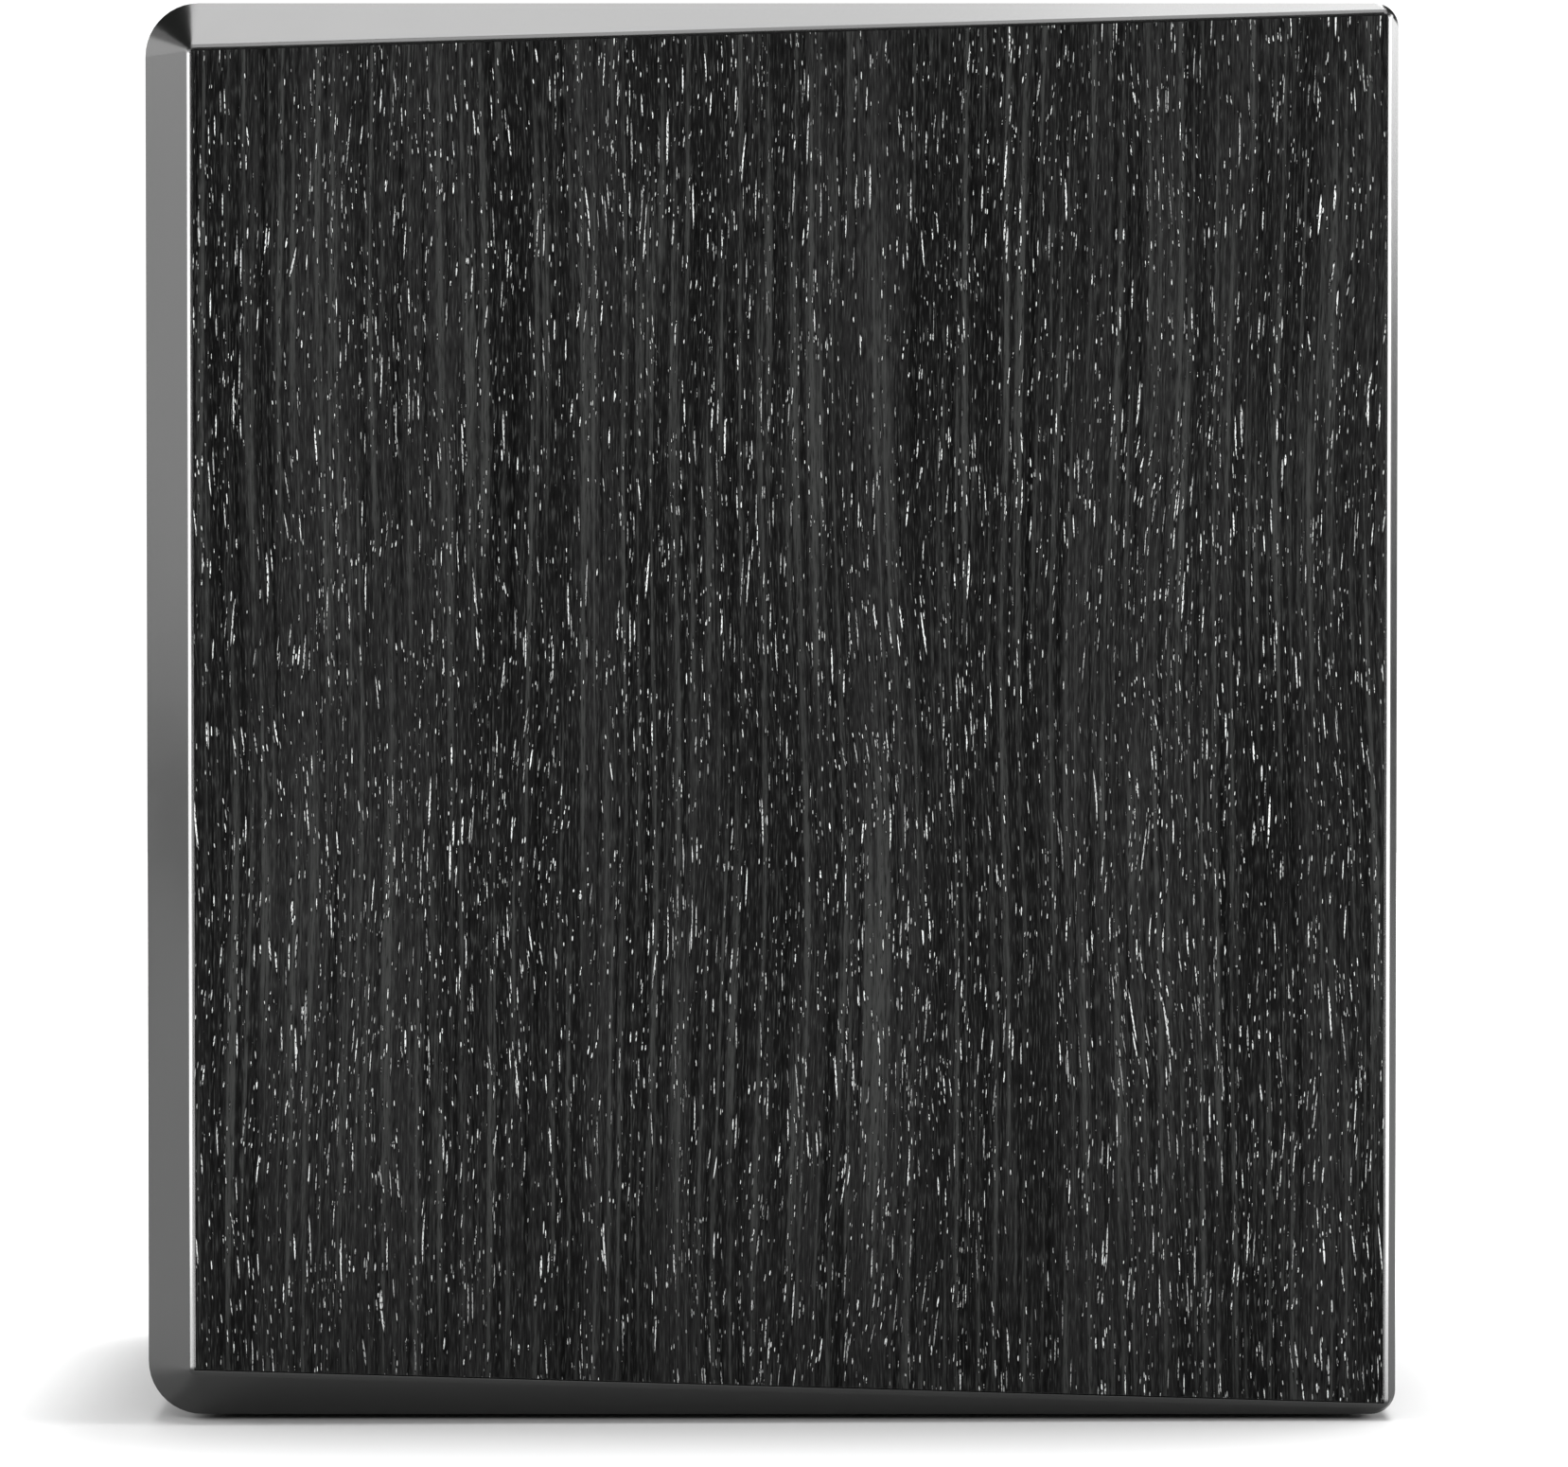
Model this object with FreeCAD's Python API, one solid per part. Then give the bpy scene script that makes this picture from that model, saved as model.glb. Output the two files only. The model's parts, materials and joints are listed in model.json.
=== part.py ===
"""Two-way bass-reflex bookshelf speaker, in millimetres.

+Z is up, the front faces -Y, and the origin is under the middle of the cabinet, on the
plane that the feet stand on. Each function returns the shape of one sub-part, and main()
writes each to parts/NODE.step.
"""

import FreeCAD
import Part
import math
import os

V = FreeCAD.Vector

# ---- cabinet -----------------------------------------------------------------------------
cabinet_height = 350.0
cabinet_depth = 310.0
overall_width = 205.0
foot_height = 1.5
foot_radius = 10.0
foot_inset = 32.0
top_thickness = 16.0
side_thickness = 15.0
rear_thickness = 16.0
baffle_thickness = 22.0
baffle_inset = 5.0
front_corner_radius = 13.3
rear_corner_radius = 6.0

# ---- side cheeks: the bevel is 45 degrees, so its width is also how far the face stands out
bevel_front = 11.4
bevel_rear = 2.0
cheek_rim = 5.0
face_corner_radius = 1.2
face_edge_round = 1.6
face_land = 0.8
veneer_gap = 0.35
veneer_thickness = 1.5

# ---- brace -------------------------------------------------------------------------------
brace_thickness = 12.0
brace_strip = 20.0
brace_behind_baffle = 136.0

# ---- fits and fasteners ------------------------------------------------------------------
seat_clearance = 0.3
running_clearance = 0.05
screw_clearance = 0.1
gasket_thickness = 1.0
socket_depth = 1.6

# ---- woofer, depths measured back from the front of its flange ----------------------------
woofer_flange_radius = 83.0
woofer_flange_thickness = 5.0
woofer_edge_margin = 11.0
woofer_flange_width = 11.5
woofer_bowl_clearance = 1.0
woofer_basket_wall = 3.0
woofer_land_width = 5.0
woofer_land_depth = 2.5
woofer_roll_width = 9.0
woofer_surround_wall = 0.8
woofer_cone_thickness = 0.7
woofer_neck_depth = 35.0
woofer_coil_radius = 12.75
woofer_former_wall = 0.3
woofer_winding_wall = 0.5
woofer_winding_height = 12.0
woofer_gap_clearance = 0.5
woofer_spider_depth = 42.0
woofer_spider_radius = 46.0
woofer_spider_rim = 4.0
woofer_spider_wall = 0.6
woofer_spider_waves = 6
woofer_spider_wave_height = 1.6
glue_gap = 0.1
woofer_seat_depth = 54.0
woofer_seat_radius = 51.0
woofer_plate_thickness = 6.0
woofer_magnet_radius = 50.0
woofer_magnet_thickness = 16.0
woofer_spoke_count = 6
woofer_spoke_width = 13.0
woofer_window_start = 13.0
woofer_window_end = 38.0
woofer_screw_count = 6
woofer_lead_radius = 0.6
woofer_lead_half_gap = 10.0
woofer_lug_depth = 40.0
woofer_lug_drop = 61.0
pole_vent_radius = 4.0

# ---- tweeter -----------------------------------------------------------------------------
tweeter_flange_radius = 52.0
tweeter_flange_thickness = 4.0
tweeter_edge_margin = 20.0
tweeter_motor_clearance = 8.0
tweeter_mouth_radius = 39.0
tweeter_throat_margin = 0.7
tweeter_throat_depth = 8.5
tweeter_throat_land = 1.2
tweeter_dome_radius = 12.5
tweeter_dome_height = 4.6
tweeter_dome_wall = 0.3
tweeter_roll_width = 3.4
tweeter_roll_rim = 2.7
tweeter_former_wall = 0.2
tweeter_winding_wall = 0.35
tweeter_gap_clearance = 0.3
tweeter_seat_depth = 11.0
tweeter_plate_margin = 1.0
tweeter_plate_thickness = 4.0
tweeter_magnet_radius = 30.0
tweeter_magnet_thickness = 8.0
tweeter_chamber_depth = 24.0
tweeter_chamber_wall = 2.0
tweeter_guard_height = 5.2
tweeter_guard_skirt = 0.9
tweeter_guard_wall = 0.4
tweeter_guard_hole = 0.95
tweeter_guard_pitch = 2.9
tweeter_screw_count = 4
tweeter_lug_depth = 26.0
tweeter_lug_drop = 34.0

# ---- port --------------------------------------------------------------------------------
port_radius = 25.0
port_wall = 2.0
port_length = 118.0
port_flare = 10.0
port_flange_radius = 45.0
port_flange_thickness = 3.0
port_edge_margin = 9.0
port_screw_count = 4
port_lip = 8.0
port_sleeve = 14.0

# ---- terminals ---------------------------------------------------------------------------
cup_width = 84.0
cup_height = 60.0
cup_depth = 38.0
cup_wall = 2.5
cup_corner_radius = 6.0
cup_flange = 10.0
cup_flange_thickness = 3.0
cup_edge_margin = 30.0
post_spacing = 32.0
stud_radius = 3.9
stud_tip_gap = 0.7
stud_tail = 2.0
banana_radius = 2.0
banana_depth = 18.0
wire_hole_radius = 1.5
collar_radius = 7.4
collar_thickness = 2.5
washer_radius = 6.8
washer_thickness = 1.2
cap_radius = 7.0
cap_length = 25.0
cap_end_wall = 2.0
cap_end_hole = 2.7
cap_flutes = 18
post_nut_thickness = 3.5
post_nut_radius = 6.4
tab_thickness = 0.8
tab_drop = 15.0

# ---- crossover ---------------------------------------------------------------------------
board_width = 112.0
board_length = 92.0
board_thickness = 3.0
board_standoff = 6.0
board_rear_gap = 14.0
lug_length = 9.0
lug_half_gap = 7.0
wire_radius = 1.1

# ---- stand fixing ------------------------------------------------------------------------
insert_radius = 4.5
insert_bore = 2.5
insert_length = 12.0
insert_spacing = 100.0

# ---- places worked out from the sizes above ----------------------------------------------
bottom_z = foot_height
top_z = bottom_z + cabinet_height
front_y = -cabinet_depth / 2
rear_y = cabinet_depth / 2
bevel_start_x = overall_width / 2 - bevel_front
inner_x = bevel_start_x - cheek_rim
cavity_x = inner_x - side_thickness
baffle_y = front_y + baffle_inset
baffle_back_y = baffle_y + baffle_thickness
rear_inner_y = rear_y - rear_thickness
floor_z = bottom_z + top_thickness
ceiling_z = top_z - top_thickness
woofer_z = floor_z + woofer_edge_margin + woofer_flange_radius
tweeter_z = ceiling_z - tweeter_edge_margin - tweeter_flange_radius
port_z = ceiling_z - port_edge_margin - port_flange_radius
cup_z = floor_z + cup_edge_margin + cup_height / 2 + cup_flange
cup_floor_y = rear_y - cup_depth
brace_y = baffle_back_y + brace_behind_baffle
board_z = floor_z + board_standoff
board_top_z = board_z + board_thickness
board_rear_y = rear_inner_y - board_rear_gap
board_front_y = board_rear_y - board_length
woofer_bowl_radius = woofer_flange_radius - woofer_flange_width
woofer_cutout_radius = woofer_bowl_radius + woofer_bowl_clearance
woofer_screw_circle = (woofer_cutout_radius + woofer_flange_radius) / 2
woofer_land_radius = woofer_bowl_radius - woofer_land_width
woofer_cone_radius = woofer_land_radius - woofer_roll_width
woofer_gap_radius = woofer_coil_radius + woofer_former_wall + woofer_winding_wall + woofer_gap_clearance
woofer_pole_radius = woofer_coil_radius - woofer_gap_clearance
woofer_magnet_depth = woofer_seat_depth + woofer_plate_thickness
woofer_back_depth = woofer_magnet_depth + woofer_magnet_thickness
tweeter_coil_radius = tweeter_dome_radius - tweeter_former_wall
tweeter_roll_radius = tweeter_coil_radius + tweeter_roll_width
tweeter_throat_radius = tweeter_roll_radius + tweeter_throat_margin
tweeter_rim_radius = tweeter_roll_radius + tweeter_roll_rim
tweeter_plate_radius = tweeter_magnet_radius - tweeter_plate_margin
tweeter_cutout_radius = tweeter_magnet_radius + tweeter_motor_clearance
tweeter_screw_circle = (tweeter_mouth_radius + tweeter_flange_radius) / 2
tweeter_dome_base = tweeter_throat_depth + tweeter_throat_land
tweeter_magnet_depth = tweeter_seat_depth + tweeter_plate_thickness
tweeter_back_depth = tweeter_magnet_depth + tweeter_magnet_thickness
tweeter_chamber_start = tweeter_back_depth + tweeter_plate_thickness
stud_length = collar_thickness + washer_thickness + cap_length - cap_end_wall - stud_tip_gap


# ---- shape helpers -----------------------------------------------------------------------
def block(x0, x1, y0, y1, z0, z1):
    return Part.makeBox(x1 - x0, y1 - y0, z1 - z0, V(x0, y0, z0))


def rod_y(radius, y0, y1, x, z):
    """A round rod along Y."""
    return Part.makeCylinder(radius, y1 - y0, V(x, y0, z), V(0, 1, 0))


def rod_z(radius, z0, z1, x, y):
    """A round rod along Z."""
    return Part.makeCylinder(radius, z1 - z0, V(x, y, z0), V(0, 0, 1))


def turned(z, start, *steps):
    """A solid turned about the line along Y through x 0 and this z.

    Points are (radius, y). A step is a point, for a straight line to it, or a pair of
    points, for an arc through the first to the second. The outline closes itself.
    """
    def at(point):
        return V(point[0], point[1], z)

    here = at(start)
    edges = []
    for step in steps:
        if isinstance(step[0], tuple):
            through, end = at(step[0]), at(step[1])
            edges.append(Part.Arc(here, through, end).toShape())
        else:
            end = at(step)
            edges.append(Part.LineSegment(here, end).toShape())
        here = end
    if here.distanceToPoint(at(start)) > 1e-6:
        edges.append(Part.LineSegment(here, at(start)).toShape())
    face = Part.Face(Part.Wire(edges))
    return face.revolve(V(0, 0, z), V(0, 1, 0), 360)


def cap_middle(radius, height, base_y):
    """A point halfway out on a spherical cap's section. The cap bulges forward from base_y."""
    sphere = (radius ** 2 + height ** 2) / (2 * height)
    part = radius / 2
    return part, base_y - (math.sqrt(sphere ** 2 - part ** 2) - (sphere - height))


def ring(z, inner, outer, y0, y1):
    return turned(z, (inner, y0), (outer, y0), (outer, y1), (inner, y1))


def around(z, radius, count, start_degrees=0.0):
    """The x and z of points evenly round a circle about x 0 and this z."""
    for i in range(count):
        angle = math.radians(start_degrees + 360.0 * i / count)
        yield radius * math.cos(angle), z + radius * math.sin(angle)


def fused(shapes):
    shapes = list(shapes)
    whole = shapes[0].multiFuse(shapes[1:]) if len(shapes) > 1 else shapes[0]
    return whole.removeSplitter()


def rounded_loop(corners, radii):
    """A closed wire through flat corners, each rounded to its own radius."""
    count = len(corners)
    arcs = []
    for i, radius in enumerate(radii):
        corner = corners[i]
        back = (corners[i - 1] - corner).normalize()
        ahead = (corners[(i + 1) % count] - corner).normalize()
        half = back.getAngle(ahead) / 2
        inward = (back + ahead).normalize()
        centre = corner + inward * (radius / math.sin(half))
        reach = radius / math.tan(half)
        arcs.append((corner + back * reach, centre - inward * radius, corner + ahead * reach))
    edges = []
    for i, (first, middle, last) in enumerate(arcs):
        edges.append(Part.Arc(first, middle, last).toShape())
        edges.append(Part.LineSegment(last, arcs[(i + 1) % count][0]).toShape())
    return Part.Wire(edges)


def side_corners(x):
    """The cabinet's side outline at one x, from the front bottom corner, anticlockwise from +X."""
    return [V(x, front_y, bottom_z), V(x, rear_y, bottom_z), V(x, rear_y, top_z), V(x, front_y, top_z)]


side_radii = [front_corner_radius, rear_corner_radius, rear_corner_radius, front_corner_radius]


def side_profile(x0, x1):
    """A slab with the cabinet's side outline."""
    return Part.Face(rounded_loop(side_corners(x0), side_radii)).extrude(V(x1 - x0, 0, 0))


def mirrored_x(shape):
    return shape.mirror(V(0, 0, 0), V(1, 0, 0))


def socket_screw(x, y, z, head_radius, head_height, shank_radius, length):
    """A hexagon-socket screw that points back along Y, its head's face at y."""
    head = rod_y(head_radius, y, y + head_height, x, z)
    head = head.makeChamfer(0.35, [e for e in head.Edges if abs(e.CenterOfMass.y - y) < 1e-6
                                   and e.Length > head_radius])
    shank = rod_y(shank_radius, y + head_height, y + head_height + length, x, z)
    flats = [V(x + fx, y, fz) for fx, fz in around(z, head_radius / 2, 6)]
    socket = Part.Face(Part.makePolygon(flats + flats[:1])).extrude(V(0, socket_depth, 0))
    return head.fuse(shank).cut(socket)


# ---- screws: one list of sizes for each place --------------------------------------------
woofer_screw = {"head_radius": 3.4, "head_height": 3.2, "shank_radius": 1.9, "length": 18.0}
tweeter_screw = {"head_radius": 3.0, "head_height": 2.4, "shank_radius": 1.6, "length": 15.0}
rear_screw = {"head_radius": 2.9, "head_height": 2.0, "shank_radius": 1.5, "length": 11.0}
screw_face_drop = 0.2


def screw_holes(size, places, y, backwards=False):
    """The counterbores and shank holes for screws at (x, z) places, from the face at y inwards."""
    turn = -1 if backwards else 1
    cuts = []
    for x, z in places:
        head_end = y + turn * (size["head_height"] + screw_face_drop)
        tip = head_end + turn * (size["length"] + 1.0)
        head_y = sorted((y - turn, head_end))
        shank_y = sorted((head_end - turn, tip))
        cuts.append(rod_y(size["head_radius"] + screw_clearance, *head_y, x, z))
        cuts.append(rod_y(size["shank_radius"] + screw_clearance, *shank_y, x, z))
    return Part.Compound(cuts)


def front_screws(size, places, y):
    return Part.Compound([socket_screw(x, y + screw_face_drop, z, **size) for x, z in places])


def back_screws(size, places, y):
    """The same screws, driven from the rear."""
    turned_round = []
    for x, z in places:
        screw = socket_screw(-x, screw_face_drop - y, z, **size)
        screw.rotate(V(0, 0, 0), V(0, 0, 1), 180)
        turned_round.append(screw)
    return Part.Compound(turned_round)


def woofer_screw_places():
    return list(around(woofer_z, woofer_screw_circle, woofer_screw_count, 30.0))


def tweeter_screw_places():
    return list(around(tweeter_z, tweeter_screw_circle, tweeter_screw_count, 45.0))


def port_screw_places():
    middle = (port_radius + port_flare + port_flange_radius) / 2
    return list(around(port_z, middle, port_screw_count, 45.0))


def cup_screw_places():
    reach_x = cup_width / 2 + cup_flange / 2
    reach_z = cup_height / 2 + cup_flange / 2
    return [(sx * reach_x, cup_z + sz * reach_z) for sx in (-1, 1) for sz in (-1, 1)]


# ---- cabinet -----------------------------------------------------------------------------
def top_panel():
    """The whole side outline, kept only where the top panel is."""
    return side_profile(-inner_x, inner_x).common(
        block(-inner_x, inner_x, front_y, rear_y, ceiling_z, top_z))


def bottom_panel():
    panel = side_profile(-inner_x, inner_x).common(
        block(-inner_x, inner_x, front_y, rear_y, bottom_z, floor_z))
    for y in insert_places():
        panel = panel.cut(rod_z(insert_radius, bottom_z - 1, bottom_z + insert_length, 0, y))
    return panel


def front_baffle():
    panel = block(-inner_x, inner_x, baffle_y, baffle_back_y, floor_z, ceiling_z)
    woofer_rebate = woofer_flange_thickness + gasket_thickness
    tweeter_rebate = tweeter_flange_thickness + gasket_thickness
    cuts = [
        rod_y(woofer_flange_radius + seat_clearance, baffle_y - 1, baffle_y + woofer_rebate, 0, woofer_z),
        rod_y(woofer_cutout_radius, baffle_y, baffle_back_y + 1, 0, woofer_z),
        rod_y(tweeter_flange_radius + seat_clearance, baffle_y - 1, baffle_y + tweeter_rebate, 0, tweeter_z),
        rod_y(tweeter_cutout_radius, baffle_y, baffle_back_y + 1, 0, tweeter_z),
        screw_holes(woofer_screw, woofer_screw_places(), baffle_y),
        screw_holes(tweeter_screw, tweeter_screw_places(), baffle_y),
    ]
    return panel.cut(cuts)


def rear_panel():
    panel = block(-inner_x, inner_x, rear_inner_y, rear_y, floor_z, ceiling_z)
    flare_radius = port_radius + port_flare + port_wall + seat_clearance
    rebate_y = rear_y - cup_flange_thickness - gasket_thickness
    flange = cup_slab(cup_flange + seat_clearance, rebate_y, rear_y + 1)
    well = cup_slab(cup_wall + seat_clearance, rear_inner_y - 1, rear_y)
    cuts = [
        rod_y(port_flange_radius + seat_clearance, rear_y - port_flange_thickness, rear_y + 1, 0, port_z),
        rod_y(flare_radius, rear_inner_y - 1, rear_y, 0, port_z),
        flange,
        well,
        screw_holes(rear_screw, port_screw_places() + cup_screw_places(), rear_y, backwards=True),
    ]
    return panel.cut(cuts)


def side_panel():
    return block(cavity_x, inner_x, baffle_back_y, rear_inner_y, floor_z, ceiling_z)


def face_corners():
    """The corners of the cheek's slanting face, where the bevel ends, in side_corners' order."""
    widths = [bevel_front, bevel_rear, bevel_rear, bevel_front]
    signs = [(1, 1), (-1, 1), (-1, -1), (1, -1)]
    return [corner + V(width, sy * width, sz * width)
            for corner, width, (sy, sz) in zip(side_corners(bevel_start_x), widths, signs)]


def inset_corners(corners, inset):
    """The corners of a flat outline whose sides have all moved in by the same distance."""
    moved = []
    for i, corner in enumerate(corners):
        back = (corners[i - 1] - corner).normalize()
        ahead = (corners[(i + 1) % len(corners)] - corner).normalize()
        moved.append(corner + (back + ahead) * (inset / math.sin(back.getAngle(ahead))))
    return moved


def face_slab(inset, corner_radius, depth, lift=0.0):
    """A slab under the cheek's face: its outline is the face's, moved in, and it goes depth deep."""
    corners = face_corners()
    normal = (corners[1] - corners[0]).cross(corners[3] - corners[0]).normalize()
    top = [corner + normal * lift for corner in inset_corners(corners, inset)]
    return Part.Face(rounded_loop(top, [corner_radius] * 4)).extrude(normal * -(depth + lift))


def bevelled_cheek():
    outer = rounded_loop(side_corners(bevel_start_x), side_radii)
    face = rounded_loop(face_corners(), [face_corner_radius] * 4)
    cap = Part.makeLoft([outer, face], True, True)
    cheek = fused([side_profile(inner_x, bevel_start_x), cap])
    edges = [e for e in cheek.Edges if all(v.Point.x > bevel_start_x + bevel_rear / 2 for v in e.Vertexes)]
    return cheek.makeFillet(face_edge_round, edges)


def cheek():
    return bevelled_cheek().cut(face_slab(face_land, veneer_gap, veneer_thickness, 1.0))


def veneer():
    return face_slab(face_land + veneer_gap, veneer_gap, veneer_thickness)


def window_brace():
    """A frame across the cabinet, with one window low down and one high up."""
    z_bar = (woofer_z + tweeter_z) / 2
    y0, y1 = brace_y, brace_y + brace_thickness
    frame = block(-cavity_x, cavity_x, y0, y1, floor_z, ceiling_z)
    reach = cavity_x - brace_strip
    low = block(-reach, reach, y0 - 1, y1 + 1, floor_z + brace_strip, z_bar - brace_strip / 2)
    high = block(-reach, reach, y0 - 1, y1 + 1, z_bar + brace_strip / 2, ceiling_z - brace_strip)
    return frame.cut([low, high])


def feet():
    reach_x = inner_x - foot_inset / 2
    pads = []
    for x in (-reach_x, reach_x):
        for y in (front_y + foot_inset, rear_y - foot_inset):
            pad = rod_z(foot_radius, 0, foot_height, x, y)
            rim = [e for e in pad.Edges if e.CenterOfMass.z < 1e-6 and e.Length > foot_radius]
            pads.append(pad.makeFillet(0.5, rim))
    return Part.Compound(pads)


def insert_places():
    return (-insert_spacing / 2, insert_spacing / 2)


def stand_inserts():
    bushes = []
    for y in insert_places():
        bush = rod_z(insert_radius, bottom_z, bottom_z + insert_length, 0, y)
        bushes.append(bush.cut(rod_z(insert_bore, bottom_z - 1, bottom_z + insert_length + 1, 0, y)))
    return Part.Compound(bushes)


# ---- woofer ------------------------------------------------------------------------------
def woofer_depth(depth):
    return baffle_y + depth


def woofer_basket():
    d = woofer_depth
    wall = woofer_basket_wall
    ledge = woofer_spider_radius - woofer_spider_rim + 0.3
    ledge_depth = woofer_spider_depth + woofer_spider_wall
    bowl = turned(
        woofer_z,
        (woofer_land_radius - 1.5, d(woofer_land_depth)),
        (woofer_bowl_radius, d(woofer_land_depth)),
        (woofer_bowl_radius, d(0)),
        (woofer_flange_radius - 0.6, d(0)),
        (woofer_flange_radius, d(0.6)),
        (woofer_flange_radius, d(woofer_flange_thickness)),
        (woofer_bowl_radius, d(woofer_flange_thickness)),
        (woofer_bowl_radius, d(9)),
        (woofer_seat_radius, d(46)),
        (woofer_seat_radius, d(woofer_seat_depth)),
        (woofer_seat_radius - 21, d(woofer_seat_depth)),
        (woofer_seat_radius - 21, d(woofer_seat_depth - wall)),
        (woofer_seat_radius - wall - 4, d(woofer_seat_depth - wall)),
        (ledge, d(ledge_depth + wall)),
        (ledge, d(ledge_depth)),
        (woofer_spider_radius + seat_clearance, d(ledge_depth)),
        (woofer_spider_radius + seat_clearance + 1, d(woofer_spider_depth - 2)),
        (woofer_land_radius - 1.5, d(9)),
    )
    band = ring(woofer_z, woofer_spider_radius - 6, woofer_bowl_radius + wall,
                d(woofer_window_start), d(woofer_window_end))
    for i in range(woofer_spoke_count):
        half = woofer_spoke_width / 2
        spoke = block(-half, half, d(0), d(60), woofer_z - woofer_flange_radius, woofer_z)
        spoke.rotate(V(0, 0, woofer_z), V(0, 1, 0), 360.0 * i / woofer_spoke_count)
        band = band.cut(spoke)
    return bowl.cut([band, screw_holes(woofer_screw, woofer_screw_places(), baffle_y)])


def woofer_gasket():
    y0 = woofer_depth(woofer_flange_thickness)
    seal = ring(woofer_z, woofer_cutout_radius, woofer_flange_radius - 0.5, y0, y0 + gasket_thickness)
    return seal.cut(screw_holes(woofer_screw, woofer_screw_places(), baffle_y))


def woofer_trim_ring():
    """A bright ring over the surround's outer edge, its inner corner chamfered."""
    d = woofer_depth
    inner = woofer_land_radius + 0.4
    outer = woofer_bowl_radius - 0.1
    back, proud = woofer_land_depth - woofer_surround_wall, -0.4
    return turned(woofer_z, (inner, d(back)), (inner, d(back - 0.6)), (inner + 1.3, d(proud)),
                  (outer - 0.5, d(proud)), (outer, d(proud + 0.5)), (outer, d(back)))


def woofer_surround():
    """A half roll of rubber between the cone's rim and the basket's land."""
    d = woofer_depth
    wall = woofer_surround_wall
    inner, outer = woofer_cone_radius, woofer_land_radius
    middle, roll = (inner + outer) / 2, (outer - inner) / 2
    front, back = d(woofer_land_depth - wall), d(woofer_land_depth)
    return turned(
        woofer_z,
        (inner - 4, back),
        (inner - 4, front),
        (inner, front),
        ((middle, front - roll), (outer, front)),
        (woofer_bowl_radius - 0.2, front),
        (woofer_bowl_radius - 0.2, back),
        (outer - wall, back),
        ((middle, back - roll + wall), (inner + wall, back)),
    )


def woofer_cone():
    """A shallow curved cone whose rim is glued behind the surround, with its neck on the former."""
    d = woofer_depth
    wall = woofer_cone_thickness
    neck = woofer_coil_radius + woofer_former_wall
    rim_y = d(woofer_land_depth)
    return turned(
        woofer_z,
        (neck, d(woofer_neck_depth)),
        ((neck + 21, d(17.2)), (woofer_cone_radius - 4, rim_y)),
        (woofer_cone_radius - 0.3, rim_y),
        (woofer_cone_radius - 0.3, rim_y + wall),
        (woofer_cone_radius - 3.6, rim_y + wall),
        ((neck + 21.4, d(18.0)), (neck, d(woofer_neck_depth + 1.2))),
    )


def woofer_voice_coil():
    d = woofer_depth
    inner = woofer_coil_radius
    former = inner + woofer_former_wall
    winding = former + woofer_winding_wall
    gap_middle = woofer_seat_depth + woofer_plate_thickness / 2
    start, end = gap_middle - woofer_winding_height / 2, gap_middle + woofer_winding_height / 2
    return turned(woofer_z, (inner, d(woofer_neck_depth - 1)), (former, d(woofer_neck_depth - 1)),
                  (former, d(start)), (winding, d(start)), (winding, d(end)), (inner, d(end)))


def woofer_spider():
    """A corrugated disc: half waves of one pitch between the former and the basket."""
    wall, waves, height = woofer_spider_wall, woofer_spider_waves, woofer_spider_wave_height
    start = woofer_coil_radius + woofer_former_wall + glue_gap
    inner, outer = start + woofer_spider_rim, woofer_spider_radius - woofer_spider_rim
    pitch = (outer - inner) / waves
    y = woofer_depth(woofer_spider_depth)
    steps = []
    for i in range(waves):
        crest = y + (height if i % 2 else -height)
        steps.append(((inner + (i + 0.5) * pitch, crest), (inner + (i + 1) * pitch, y)))
    back = [(woofer_spider_radius, y), (woofer_spider_radius, y + wall), (outer, y + wall)]
    for i in reversed(range(waves)):
        crest = y + wall + (height if i % 2 else -height)
        back.append(((inner + (i + 0.5) * pitch, crest), (inner + i * pitch, y + wall)))
    return turned(woofer_z, (start, y), (inner, y), *steps, *back, (start, y + wall))


def woofer_phase_plug():
    """A bullet on the front of the pole."""
    d = woofer_depth
    root = woofer_pole_radius - 0.4
    nose_radius, nose_height, nose_depth = 4.5, 1.6, 11.6
    return turned(
        woofer_z,
        (0, d(woofer_seat_depth)),
        (root, d(woofer_seat_depth)),
        (root, d(32)),
        ((root - 1.9, d(21)), (nose_radius, d(nose_depth))),
        (cap_middle(nose_radius, nose_height, d(nose_depth)), (0, d(nose_depth - nose_height))),
    )


def woofer_top_plate():
    y0 = woofer_depth(woofer_seat_depth)
    return ring(woofer_z, woofer_gap_radius, woofer_magnet_radius - 2, y0, y0 + woofer_plate_thickness)


def woofer_magnet():
    y0 = woofer_depth(woofer_magnet_depth)
    return ring(woofer_z, woofer_gap_radius + 9, woofer_magnet_radius, y0, y0 + woofer_magnet_thickness)


def woofer_yoke():
    d = woofer_depth
    vent = pole_vent_radius
    plate_back = woofer_back_depth + woofer_plate_thickness
    return turned(
        woofer_z,
        (vent, d(woofer_seat_depth)),
        (woofer_pole_radius, d(woofer_seat_depth)),
        (woofer_pole_radius, d(woofer_back_depth)),
        (woofer_magnet_radius - 2, d(woofer_back_depth)),
        (woofer_magnet_radius - 2, d(plate_back - 1.5)),
        (woofer_magnet_radius - 3.5, d(plate_back)),
        (vent + 3, d(plate_back)),
        (vent, d(plate_back - 3)),
    )


def woofer_screws():
    return front_screws(woofer_screw, woofer_screw_places(), baffle_y)


def lug_pair(y0, z):
    """Two flat push-on lugs that point back along Y, each with its hole."""
    half_width = 2.4
    lugs = []
    for x in (-lug_half_gap, lug_half_gap):
        lug = block(x - half_width, x + half_width, y0, y0 + lug_length, z, z + tab_thickness)
        lugs.append(lug.cut(rod_z(0.8, z - 2, z + 2, x, y0 + lug_length - 3)))
    return lugs


def largest_solid(shape):
    return max(shape.Solids, key=lambda solid: solid.Volume)


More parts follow.
